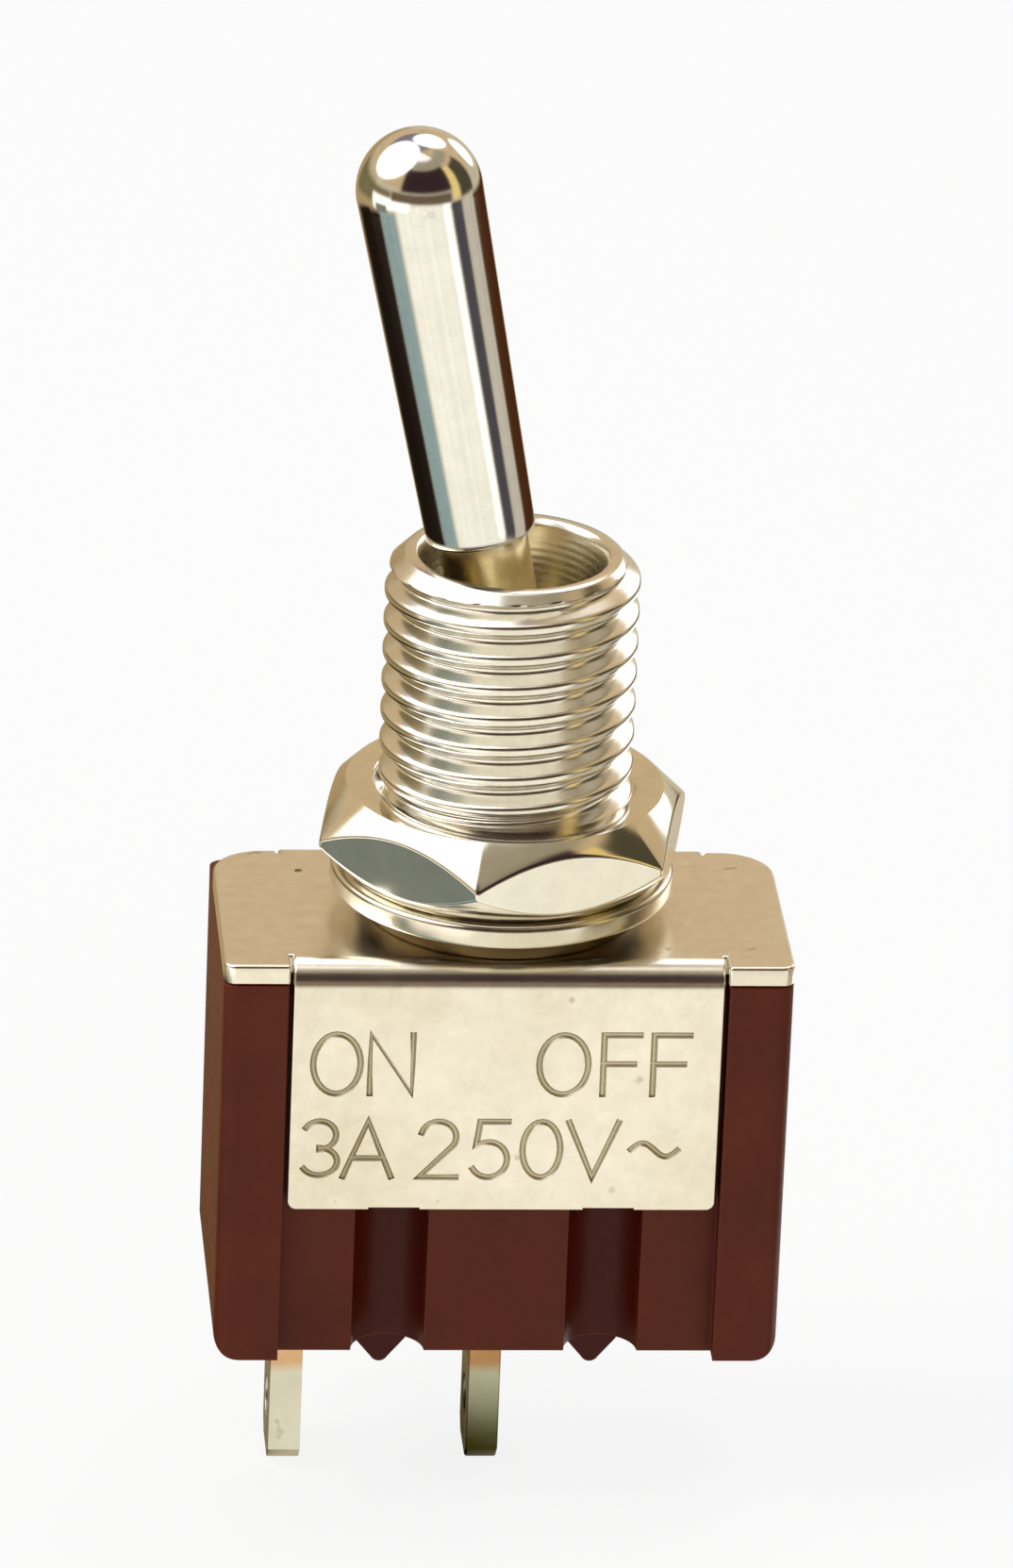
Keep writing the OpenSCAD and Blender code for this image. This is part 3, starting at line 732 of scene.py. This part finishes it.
def cylinder(name, centre, radius, height, steps=96):
    """A closed upright drum about a point."""
    verts = []
    for k in range(steps):
        a = 2 * math.pi * k / steps
        x, y = radius * math.cos(a), radius * math.sin(a)
        for z in (-height / 2, height / 2):
            verts.append((centre[0] + x, centre[1] + y, centre[2] + z))
    faces = [(2 * k, 2 * ((k + 1) % steps), 2 * ((k + 1) % steps) + 1, 2 * k + 1) for k in range(steps)]
    faces += [tuple(2 * k for k in reversed(range(steps))), tuple(2 * k + 1 for k in range(steps))]
    return make_object(name, verts, faces)


def block(name, low, high):
    """A closed block between two corners."""
    verts = [(x, y, z) for x in (low[0], high[0]) for y in (low[1], high[1]) for z in (low[2], high[2])]
    faces = [(0, 1, 3, 2), (4, 6, 7, 5), (0, 4, 5, 1), (2, 3, 7, 6), (0, 2, 6, 4), (1, 5, 7, 3)]
    return make_object(name, verts, faces)


def combine(obj, tools, operation):
    """Joins the tools to the object or cuts them out of it, and removes the tools."""
    group = bpy.data.collections.new("tools")
    for tool in tools:
        group.objects.link(tool)
    boolean = obj.modifiers.new("combine", "BOOLEAN")
    boolean.operation = operation
    boolean.operand_type = "COLLECTION"
    boolean.collection = group
    boolean.solver = "EXACT"
    boolean.material_mode = "TRANSFER"
    bake(obj)
    for tool in tools:
        mesh = tool.data
        bpy.data.objects.remove(tool)
        bpy.data.meshes.remove(mesh)
    bpy.data.collections.remove(group)


def bake(obj):
    """Replaces the object's mesh by what its modifiers make of it."""
    evaluated = obj.evaluated_get(bpy.context.evaluated_depsgraph_get())
    mesh = bpy.data.meshes.new_from_object(evaluated)
    obj.modifiers.clear()
    old = obj.data
    obj.data = mesh
    bpy.data.meshes.remove(old)


def even_normals(obj, angle):
    """Smooth shading in which the large faces stay flat."""
    shade(obj, angle)
    weigh = obj.modifiers.new("normals", "WEIGHTED_NORMAL")
    weigh.keep_sharp = True
    weigh.weight = 60


def crimp_tongues():
    """Blocks pressed in from the flaps' lower edges, two to a flap."""
    tongues = []
    z = NOTCH_RISE - FLAP_DROP
    for x in (-NOTCH_X, NOTCH_X):
        for side in (-1, 1):
            near, far = side * (PLATE_Y - TONGUE_PRESS), side * (PLATE_Y - TONGUE_PRESS - SHEET)
            low = (x - TONGUE_HALF, min(near, far), z)
            high = (x + TONGUE_HALF, max(near, far), z + TONGUE_H)
            tongues.append(block("tongue", low, high))
    return tongues


def build_bracket(steel, engraving):
    """The folded bracket with its tongues, hole, notches, small pit and cut letters."""
    obj = bracket_body()
    set_material(obj, steel)
    tongues = crimp_tongues()
    for tongue in tongues:
        set_material(tongue, steel)
    combine(obj, tongues, "UNION")
    tools = [cylinder("hole", (0, 0, -SHEET / 2), SHANK_R, 2 * SHEET)]
    set_material(tools[0], steel)
    tools.append(cylinder("pit", PIT, PIT_R, PIT_HEIGHT, PIT_STEPS))
    set_material(tools[1], engraving)
    for x in (-NOTCH_X, NOTCH_X):
        low = (x - NOTCH_W / 2, -PLATE_Y - 1, -FLAP_DROP - 1)
        notch = block("notch", low, (x + NOTCH_W / 2, PLATE_Y + 1, NOTCH_RISE - FLAP_DROP))
        set_material(notch, steel)
        tools.append(notch)
    for points, closed in position_strokes(*FIRST_LINE) + rating_strokes(*SECOND_LINE):
        tool = make_object("stroke", *stroke_cutter(points, closed, STROKE_WIDTH, STROKE_DEPTH))
        set_material(tool, engraving)
        tools.append(tool)
    combine(obj, tools, "DIFFERENCE")
    even_normals(obj, ENGRAVED_SMOOTH)
    return obj


# ---------------------------------------------------------------- softened copies of CAD parts
SHARP_EDGE = math.radians(35)
COPLANAR = math.radians(0.6)
SOFTENED_SMOOTH = 40


def softened(node, name, width):
    """A copy of a CAD part with its sharp edges rounded."""
    bm = bmesh.new()
    bm.from_mesh(node.data)
    bmesh.ops.remove_doubles(bm, verts=bm.verts, dist=1e-6)
    bmesh.ops.dissolve_limit(bm, angle_limit=COPLANAR, verts=bm.verts, edges=bm.edges)
    edges = [e for e in bm.edges if e.is_manifold and e.calc_face_angle(0) > SHARP_EDGE]
    bmesh.ops.bevel(bm, geom=edges, offset=width * MM, offset_type="OFFSET", segments=3, profile=0.5,
                    affect="EDGES", clamp_overlap=True)
    obj = object_from(bm, name)
    even_normals(obj, SOFTENED_SMOOTH)
    return obj


# ---------------------------------------------------------------- shader helpers
class Nodes:
    """Short names for building a node tree."""

    def __init__(self, tree):
        self.tree = tree
        tree.nodes.clear()

    def add(self, kind, inputs=None, **settings):
        """A node with its settings and, by name or number, its inputs: links or constants."""
        node = self.tree.nodes.new(kind)
        for key, value in settings.items():
            setattr(node, key, value)
        for key, value in (inputs or {}).items():
            socket = node.inputs[key]
            if isinstance(value, bpy.types.NodeSocket):
                self.tree.links.new(value, socket)
            else:
                socket.default_value = value
        return node

    def link(self, a, b):
        self.tree.links.new(a, b)

    def axes(self, vector):
        return self.add("ShaderNodeSeparateXYZ", {0: vector}).outputs

    def grey(self, value):
        return self.add("ShaderNodeCombineColor", {0: value, 1: value, 2: value}).outputs[0]

    def dot(self, a, b):
        node = self.add("ShaderNodeVectorMath", {0: a, 1: b}, operation="DOT_PRODUCT")
        return node.outputs["Value"]

    def math(self, operation, a, b=0.0, clamp=False):
        node = self.add("ShaderNodeMath", {0: a, 1: b}, operation=operation, use_clamp=clamp)
        return node.outputs[0]

    def step(self, value, low, high):
        """0 at low, 1 at high, smooth between; low may be the greater."""
        node = self.add("ShaderNodeMapRange", {"Value": value, "From Min": low, "From Max": high},
                        interpolation_type="SMOOTHSTEP")
        return node.outputs["Result"]

    def remap(self, value, low, high, to_low, to_high):
        node = self.add("ShaderNodeMapRange", {"Value": value, "From Min": low, "From Max": high,
                                               "To Min": to_low, "To Max": to_high})
        return node.outputs["Result"]

    def mix(self, factor, a, b, blend="MIX"):
        node = self.add("ShaderNodeMix", data_type="RGBA", blend_type=blend)
        for socket, value in ((node.inputs[0], factor), (node.inputs[6], a), (node.inputs[7], b)):
            if isinstance(value, bpy.types.NodeSocket):
                self.tree.links.new(value, socket)
            else:
                socket.default_value = value
        return node.outputs[2]

    def noise(self, vector, scale, detail, roughness=0.6):
        node = self.add("ShaderNodeTexNoise", {"Vector": vector, "Scale": scale, "Detail": detail,
                                               "Roughness": roughness, "Distortion": 0.0})
        return node.outputs["Fac"]

    def bump(self, height, distance, normal=None):
        inputs = {"Height": height, "Distance": distance, "Strength": 1.0}
        if normal is not None:
            inputs["Normal"] = normal
        return self.add("ShaderNodeBump", inputs).outputs[0]


def srgb(text):
    """Linear opaque colour from a six-digit hexadecimal one."""
    out = []
    for i in (0, 2, 4):
        c = int(text[i:i + 2], 16) / 255
        out.append(c / 12.92 if c <= 0.04045 else ((c + 0.055) / 1.055) ** 2.4)
    return (*out, 1.0)


def new_material(name):
    """A material with its node helper, its Principled shader and the place in the object's frame."""
    mat = bpy.data.materials.new(name)
    mat.use_nodes = True
    nodes = Nodes(mat.node_tree)
    out = nodes.add("ShaderNodeOutputMaterial")
    bsdf = nodes.add("ShaderNodeBsdfPrincipled")
    nodes.link(bsdf.outputs[0], out.inputs[0])
    place = nodes.add("ShaderNodeTexCoord").outputs["Object"]
    return mat, nodes, bsdf, place


RING_PITCH = 0.17
DRIFT_SCALE = 220.0
SPECK_SCALE = 1500.0
SPECK_COLOUR = "4a3a24"
# Heights, in metres, between which the darker tone towards the bottom and the tan of the terminals' roots
# come in
DARK_BELOW_TOP = -0.0115
DARK_BELOW_LOW = -0.0138
DARK_BELOW_DRIFT = 0.0004
ROOT_TOP = -0.01135
ROOT_LOW = -0.01175


def metal(name, colour, tint, rough, rough_spread, grain, grain_bump, speck=0.0, edge=0.0, rings=0.0,
          dark_below=None, root=None):
    """Plated metal: two tones that drift slowly and a fine grain, with dark specks, tool rings,
    rounded edges, a darker tone towards the bottom and a tan root where they are given."""
    mat, n, bsdf, place = new_material(name)
    drift = n.noise(place, DRIFT_SCALE, 4.0)
    fine = n.noise(place, grain, 3.0)
    height = n.axes(place)[2]
    base = n.mix(n.step(drift, 0.35, 0.68), srgb(colour), srgb(tint))
    # Darker towards the bottom between the given heights, with a wandering edge.
    if dark_below:
        wander = n.math("ADD", height, n.remap(drift, 0.3, 0.7, -DARK_BELOW_DRIFT, DARK_BELOW_DRIFT))
        base = n.mix(n.step(wander, DARK_BELOW_TOP, DARK_BELOW_LOW), base, srgb(dark_below))
    # A tan band at the root, just below the case.
    if root:
        base = n.mix(n.step(height, ROOT_LOW, ROOT_TOP), base, srgb(root))
    base = n.mix(1.0, base, n.grey(n.remap(fine, 0.3, 0.7, 0.94, 1.03)), "MULTIPLY")
    if speck:
        pits = n.step(n.noise(place, SPECK_SCALE, 2.0, 0.5), 0.70, 0.76)
        base = n.mix(n.math("MULTIPLY", pits, speck), base, srgb(SPECK_COLOUR))
    n.link(base, bsdf.inputs["Base Color"])
    bsdf.inputs["Metallic"].default_value = 1.0
    n.link(n.remap(drift, 0.3, 0.7, rough - rough_spread, rough + rough_spread), bsdf.inputs["Roughness"])
    normal = None
    if edge:
        normal = n.add("ShaderNodeBevel", {"Radius": edge}, samples=4).outputs[0]
    if rings:
        groove = n.math("SINE", n.math("MULTIPLY", height, 2 * math.pi / (RING_PITCH * MM)))
        normal = n.bump(groove, rings)
    n.link(n.bump(fine, grain_bump, normal), bsdf.inputs["Normal"])
    return mat


RESIN_DRIFT_SCALE = 350.0
RESIN_GRAIN_SCALE = 5200.0
RESIN_GRAIN_BUMP = 0.000006
RESIN_IOR = 1.5
RESIN_SHINE = 0.22
# Distances from the middle, in millimetres, between which the painted shade of the grooves comes in
GROOVE_SHADE_OUT = 3.05
GROOVE_SHADE_IN = 2.75
GROOVE_SHADE_FAR = 4.2
GROOVE_SHADE_NEAR = 3.6


def plastic(name, colour, tint, rough, edge, worn=None, groove_shade=None):
    """Moulded resin: a slow drift between two tones and a fine moulding grain, with paler rubbed
    edges and painted shade in the grooves where they are given."""
    mat, n, bsdf, place = new_material(name)
    drift = n.noise(place, RESIN_DRIFT_SCALE, 5.0, 0.62)
    grain = n.noise(place, RESIN_GRAIN_SCALE, 3.0)
    base = n.mix(n.step(drift, 0.36, 0.66), srgb(colour), srgb(tint))
    # Painted shade: the grooves beside the middle are darkened as if in shadow; this is not a colour of the
    # resin.
    if groove_shade:
        axes = n.axes(place)
        depth = n.step(n.math("ABSOLUTE", axes[1]), GROOVE_SHADE_OUT * MM, GROOVE_SHADE_IN * MM)
        inner = n.step(n.math("ABSOLUTE", axes[0]), GROOVE_SHADE_FAR * MM, GROOVE_SHADE_NEAR * MM)
        base = n.mix(n.math("MULTIPLY", depth, inner), base, srgb(groove_shade))
    rounded = n.add("ShaderNodeBevel", {"Radius": edge}, samples=6).outputs[0]
    if worn:
        agree = n.dot(rounded, n.add("ShaderNodeNewGeometry").outputs["Normal"])
        rub = n.math("MULTIPLY", n.step(agree, 0.995, 0.90), n.remap(drift, 0.35, 0.65, 0.25, 0.75))
        base = n.mix(rub, base, srgb(worn))
    n.link(base, bsdf.inputs["Base Color"])
    n.link(n.remap(grain, 0.3, 0.7, rough - 0.05, rough + 0.06), bsdf.inputs["Roughness"])
    n.link(n.bump(grain, RESIN_GRAIN_BUMP, rounded), bsdf.inputs["Normal"])
    bsdf.inputs["IOR"].default_value = RESIN_IOR
    bsdf.inputs["Specular IOR Level"].default_value = RESIN_SHINE
    return mat


# ---------------------------------------------------------------- studio
# What the metal sees: from and to azimuth (0 in front, positive to the right), from and to
# elevation and softness, all in degrees, then colour and strength. Later rows lie over earlier ones.
SURROUNDINGS_BASE = ("ceb48c", 1.0)
SURROUNDINGS = [
    (-180, 181, -90, 16, 8, "ccbfa4", 1.0),
    (-180, -96, -40, 12, 12, "bfa678", 0.85),
    (-172, -84, -90, -28, 12, "1d1410", 1.0),
    (-174, -110, -90, -26, 5, "1d1410", 1.0),
    (-84, -50, -90, -29, 9, "9db4b2", 0.85),
    (-48, 52, -90, -9, 10, "f0ecdc", 1.2),
    (-150, -58, -16, 7, 8, "857a55", 0.85),
    (-96, -22, -24, -4, 7, "fffaf0", 1.45),
    (-90, -66, -29, -17, 5, "7d8379", 0.95),
    (-56, 56, -7, 9, 6, "75634f", 0.85),
    (55, 77, -20, -8, 6, "4c4a53", 0.85),
    (80, 106, -21, -8, 6, "cfc5b6", 0.95),
    (106, 158, -21, -8, 8, "4a2711", 1.0),
    (98, 110, -34, -20, 5, "57503c", 0.8),
    (112, 157, -36, -22, 5, "ffffff", 1.7),
    (39, 53, -20, -8, 5, "fffdf6", 1.35),
    (-40, 58, 12, 56, 9, "3f2c2e", 0.8),
    (60, 74, -4, 48, 4, "e8cc80", 1.1),
    (76, 108, -4, 46, 7, "57503c", 0.8),
    (-30, 116, 54, 73, 8, "a99e86", 0.95),
    (-70, 60, 72, 91, 8, "f4f1ea", 1.3),
]
# Round lamps and patches by direction, half angle and softness in degrees, colour and strength
LAMPS = [
    ((-0.18, 0.45, 0.87), 27, 8, "8a7f88", 0.9),
    ((0.20, 0.53, 0.82), 18, 6, "ffffff", 2.2),
    ((0.62, 0.72, 0.31), 13, 6, "ffffff", 2.4),
    ((-0.593, 0.066, 0.802), 33, 9, "ffffff", 3.0),
]
CLUTTER_SCALE = 9.0
FILL_LEVEL = 0.42


def band(n, value, low, high, soft):
    """1 between low and high, falling off smoothly over soft on each side."""
    up = n.step(value, low - soft / 2, low + soft / 2)
    down = n.step(value, high - soft / 2, high + soft / 2)
    return n.math("SUBTRACT", up, down, clamp=True)


def lit_colour(colour, strength):
    """A colour that may be brighter than white."""
    return tuple(c * strength for c in srgb(colour)[:3]) + (1,)


def build_world():
    """A studio that only reflections see in full: plain white to the camera, an even grey as fill."""
    world = bpy.data.worlds.new("studio")
    bpy.context.scene.world = world
    world.use_nodes = True
    world.cycles.sampling_method = "NONE"
    n = Nodes(world.node_tree)
    out = n.add("ShaderNodeOutputWorld")
    direction = n.add("ShaderNodeTexCoord").outputs["Generated"]
    axes = n.axes(direction)
    flipped = n.math("MULTIPLY", axes[1], -1.0)
    azimuth = n.math("MULTIPLY", n.math("ARCTAN2", axes[0], flipped), 180 / math.pi)
    elevation = n.math("MULTIPLY", n.math("ARCSINE", axes[2]), 180 / math.pi)
    base, strength = SURROUNDINGS_BASE
    seen = n.mix(0.0, lit_colour(base, strength), (0, 0, 0, 1))
    for a0, a1, e0, e1, soft, colour, strength in SURROUNDINGS:
        mask = n.math("MULTIPLY", band(n, azimuth, a0, a1, soft), band(n, elevation, e0, e1, soft))
        seen = n.mix(mask, seen, lit_colour(colour, strength))
    for lamp, half, soft, colour, strength in LAMPS:
        edge, core = math.radians(half + soft / 2), math.radians(half - soft / 2)
        mask = n.step(n.dot(direction, lamp), math.cos(edge), math.cos(core))
        seen = n.mix(mask, seen, lit_colour(colour, strength))
    clutter = n.remap(n.noise(direction, CLUTTER_SCALE, 4.0), 0.3, 0.7, 0.88, 1.06)
    seen = n.mix(1.0, seen, n.grey(clutter), "MULTIPLY")
    path = n.add("ShaderNodeLightPath").outputs
    fill = n.mix(path["Is Glossy Ray"], (FILL_LEVEL, FILL_LEVEL, FILL_LEVEL, 1), seen)
    shown = n.mix(path["Is Camera Ray"], fill, (1, 1, 1, 1))
    back = n.add("ShaderNodeBackground", {"Color": shown, "Strength": 1.0})
    n.link(back.outputs[0], out.inputs[0])


# Metres, and the share of plain white near the object
FLOOR_GAP = 0.0002
FLOOR_HALF = 8.0
FLOOR_NEAR = 0.12
FLOOR_FAR = 0.7
FLOOR_WHITE = 0.86
PAPER = (0.9, 0.9, 0.9, 1)


def build_floor():
    """A pale floor that takes soft shadows and turns plain white away from the object."""
    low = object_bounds()[0].z - FLOOR_GAP
    half = FLOOR_HALF
    corners = [(-half, -half, low), (half, -half, low), (half, half, low), (-half, half, low)]
    mesh = bpy.data.meshes.new("floor")
    mesh.from_pydata(corners, [], [(0, 1, 2, 3)])
    floor = bpy.data.objects.new("floor", mesh)
    bpy.context.scene.collection.objects.link(floor)
    mat = bpy.data.materials.new("floor_white")
    mat.use_nodes = True
    n = Nodes(mat.node_tree)
    out = n.add("ShaderNodeOutputMaterial")
    path = n.add("ShaderNodeLightPath").outputs
    paper = n.add("ShaderNodeBsdfDiffuse", {"Color": PAPER}).outputs[0]
    white = n.add("ShaderNodeEmission", {"Color": (1, 1, 1, 1), "Strength": 1.0}).outputs[0]
    place = n.add("ShaderNodeTexCoord").outputs["Object"]
    reach = n.add("ShaderNodeVectorMath", {0: place}, operation="LENGTH").outputs["Value"]
    share = n.remap(reach, FLOOR_NEAR, FLOOR_FAR, FLOOR_WHITE, 1.0)
    lit = n.add("ShaderNodeMixShader", {0: share, 1: paper, 2: white}).outputs[0]
    clear = n.add("ShaderNodeBsdfTransparent").outputs[0]
    body = n.add("ShaderNodeMixShader", {0: path["Is Camera Ray"], 1: paper, 2: lit}).outputs[0]
    seen = n.add("ShaderNodeMixShader", {0: path["Is Glossy Ray"], 1: body, 2: clear}).outputs[0]
    n.link(seen, out.inputs[0])
    set_material(floor, mat)


# Name, place and diameter in metres, power in watts, colour
LIGHTS = [
    ("key", (-0.28, -0.06, 0.34), 0.22, 0.70, (1.0, 0.97, 0.93)),
    ("front_fill", (0.10, -0.40, 0.16), 0.30, 0.26, (1, 1, 1)),
    ("top", (0.06, 0.14, 0.42), 0.30, 0.34, (1, 1, 1)),
    ("right_back", (0.30, 0.26, 0.14), 0.16, 0.16, (1, 1, 1)),
]


def area_light(name, location, size, power, colour):
    """A round lamp that faces the origin and isn't mirrored in the metal."""
    data = bpy.data.lights.new(name, "AREA")
    data.shape = "DISK"
    data.size = size
    data.energy = power
    data.color = colour
    light = bpy.data.objects.new(name, data)
    bpy.context.scene.collection.objects.link(light)
    light.location = location
    light.rotation_mode = "QUATERNION"
    light.rotation_quaternion = Vector(location).to_track_quat("Z", "Y")
    light.visible_glossy = False


def build_camera():
    """The camera at its angles about the origin, rolled and shifted in its own plane."""
    az, el, roll = (math.radians(a) for a in (CAMERA_AZIMUTH, CAMERA_ELEVATION, CAMERA_ROLL))
    back = Vector((-math.sin(az) * math.cos(el), -math.cos(az) * math.cos(el), math.sin(el)))
    level_right = Vector((math.cos(az), -math.sin(az), 0))
    level_up = back.cross(level_right)
    right = level_right * math.cos(roll) + level_up * math.sin(roll)
    up = level_up * math.cos(roll) - level_right * math.sin(roll)
    data = bpy.data.cameras.new("camera")
    data.sensor_width = SENSOR
    data.lens = CAMERA_LENS_PX / IMAGE_HEIGHT * SENSOR
    data.clip_start, data.clip_end = CLIP_NEAR, CLIP_FAR
    camera = bpy.data.objects.new("camera", data)
    bpy.context.scene.collection.objects.link(camera)
    place = (back * CAMERA_DISTANCE + right * CAMERA_SHIFT_RIGHT + up * CAMERA_SHIFT_UP) * MM
    camera.matrix_world = Matrix((
        (right.x, up.x, back.x, place.x),
        (right.y, up.y, back.y, place.y),
        (right.z, up.z, back.z, place.z),
        (0, 0, 0, 1),
    ))
    bpy.context.scene.camera = camera


# ---------------------------------------------------------------- build
def stand_in(piece, body, node, slot):
    """Puts a detailed piece in the place of a CAD part."""
    if not piece.data.materials:
        set_material(piece, materials[slot])
    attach(piece, body)
    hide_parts(node)


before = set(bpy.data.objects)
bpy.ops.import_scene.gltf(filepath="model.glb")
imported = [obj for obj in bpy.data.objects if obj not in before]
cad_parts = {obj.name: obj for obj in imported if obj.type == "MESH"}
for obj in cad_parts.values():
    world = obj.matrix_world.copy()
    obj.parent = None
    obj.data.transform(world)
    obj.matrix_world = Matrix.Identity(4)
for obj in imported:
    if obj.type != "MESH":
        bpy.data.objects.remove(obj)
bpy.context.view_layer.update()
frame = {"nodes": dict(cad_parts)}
nodes = frame["nodes"]
frame_slot = {name: node.data.materials[0].name for name, node in nodes.items()}
bpy.context.scene.view_settings.view_transform = "Standard"
build_camera()
build_world()
for light_row in LIGHTS:
    area_light(*light_row)
build_floor()

materials = {
    "case_resin": plastic("case_resin", "5e220d", "541c0a", 0.42, 0.00007, worn="7c3a24", groove_shade="480f03"),
    "seal_resin": plastic("seal_resin", "c58a52", "a86f3e", 0.35, 0.00006),
    "plunger_nylon": plastic("plunger_nylon", "d8ceb4", "c9bd9f", 0.4, 0.00003),
    "bracket_steel": metal("bracket_steel", "f6f1e7", "eee6d6", 0.24, 0.04, 2600.0, 0.0000030, speck=0.3),
    "engraving": metal("engraving", "cfc7b1", "bfb499", 0.45, 0.08, 3000.0, 0.000004),
    "bushing_nickel": metal("bushing_nickel", "f3f0e8", "ebe6da", 0.19, 0.03, 1800.0, 0.0000012, speck=0.1),
    "bushing_mouth": metal("bushing_mouth", "ebe7d6", "dcd8c2", 0.24, 0.04, 1800.0, 0.000001,
                           rings=0.0000009),
    # Painted shade: a dark brown for the collar lying in the washer's shadow.
    "bushing_collar_shade": metal("bushing_collar_shade", "6e5c3c", "57472d", 0.34, 0.06, 1800.0, 0.000002),
    "nut_nickel": metal("nut_nickel", "f5f2ea", "eeeade", 0.10, 0.03, 1500.0, 0.0000008),
    "washer_zinc": metal("washer_zinc", "e9e4d6", "dcd4bf", 0.20, 0.05, 1800.0, 0.0000015),
    "lever_chrome": metal("lever_chrome", "f6f5f2", "f0efeb", 0.105, 0.015, 2400.0, 0.0000003, speck=0.12),
    # Painted reflection: the neck's yellowish tone copies the bushing's mouth mirrored in it.
    "lever_neck_reflection": metal("lever_neck_reflection", "dccfae", "cbb98e", 0.2, 0.03, 2400.0, 0.0000006),
    "pin_steel": metal("pin_steel", "c9c6c0", "b7b3ab", 0.25, 0.05, 1800.0, 0.000001),
    "spring_steel": metal("spring_steel", "bdbab4", "a7a39b", 0.25, 0.05, 1800.0, 0.000001),
    "rocker_brass": metal("rocker_brass", "d9b36a", "c79d55", 0.28, 0.06, 1800.0, 0.000002, edge=0.00003),
    "contact_silver": metal("contact_silver", "e9e8e4", "d8d5cd", 0.22, 0.05, 1800.0, 0.0000015,
                            edge=0.00003),
    "fulcrum_brass": metal("fulcrum_brass", "dab56c", "caa25a", 0.28, 0.06, 1800.0, 0.000002, edge=0.00003),
    "terminal_silver": metal("terminal_silver", "e6e5da", "d8d6c6", 0.30, 0.07, 1800.0, 0.000003, speck=0.3,
                             root="dcb48a"),
    "terminal_dull": metal("terminal_dull", "bcbca6", "adad92", 0.36, 0.07, 1800.0, 0.000003, speck=0.3,
                           dark_below="38350f", root="b48a60"),
}
for name, node in nodes.items():
    set_material(node, materials[frame_slot[name]])

bracket = build_bracket(materials["bracket_steel"], materials["engraving"])
stand_in(bracket, "housing", "bracket", "bracket_steel")
bushing = make_object("bushing_threaded", *bushing_mesh(), smooth_angle=40)
finish_bushing(bushing, [materials[name] for name in ("bushing_nickel", "bushing_mouth", "bushing_collar_shade")])
stand_in(bushing, "housing", "bushing", "bushing_nickel")
nut = make_object("hex_nut_turned", *nut_mesh(), smooth_angle=24)
stand_in(nut, "housing", "hex_nut", "nut_nickel")
washer = make_object("lock_washer_rolled", *washer_mesh(), smooth_angle=50)
stand_in(washer, "housing", "lock_washer", "washer_zinc")
lever = make_object("lever_bat", *lathe(lever_profile(), LEVER_COLUMNS, LEVER_PLACE), smooth_angle=30)
finish_lever(lever, materials["lever_chrome"], materials["lever_neck_reflection"])
stand_in(lever, "lever", "lever", "lever_chrome")
for source, width, finish in (("case", 0.12, "case_resin"), ("end_terminal", 0.06, "terminal_silver"),
                              ("common_terminal", 0.06, "terminal_dull")):
    piece = softened(nodes[source], source + "_soft", width)
    set_material(piece, materials[finish])
    stand_in(piece, "housing", source, frame_slot[source])

# A copy of the spring's coils, in spring steel, rides with the lever in the CAD spring's place
coil = bpy.data.objects.new("plunger_spring_coil", nodes["plunger_spring"].data.copy())
bpy.context.scene.collection.objects.link(coil)
set_material(coil, materials["spring_steel"])
shade(coil, 50)
stand_in(coil, "lever", "plunger_spring", "spring_steel")
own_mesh(coil)
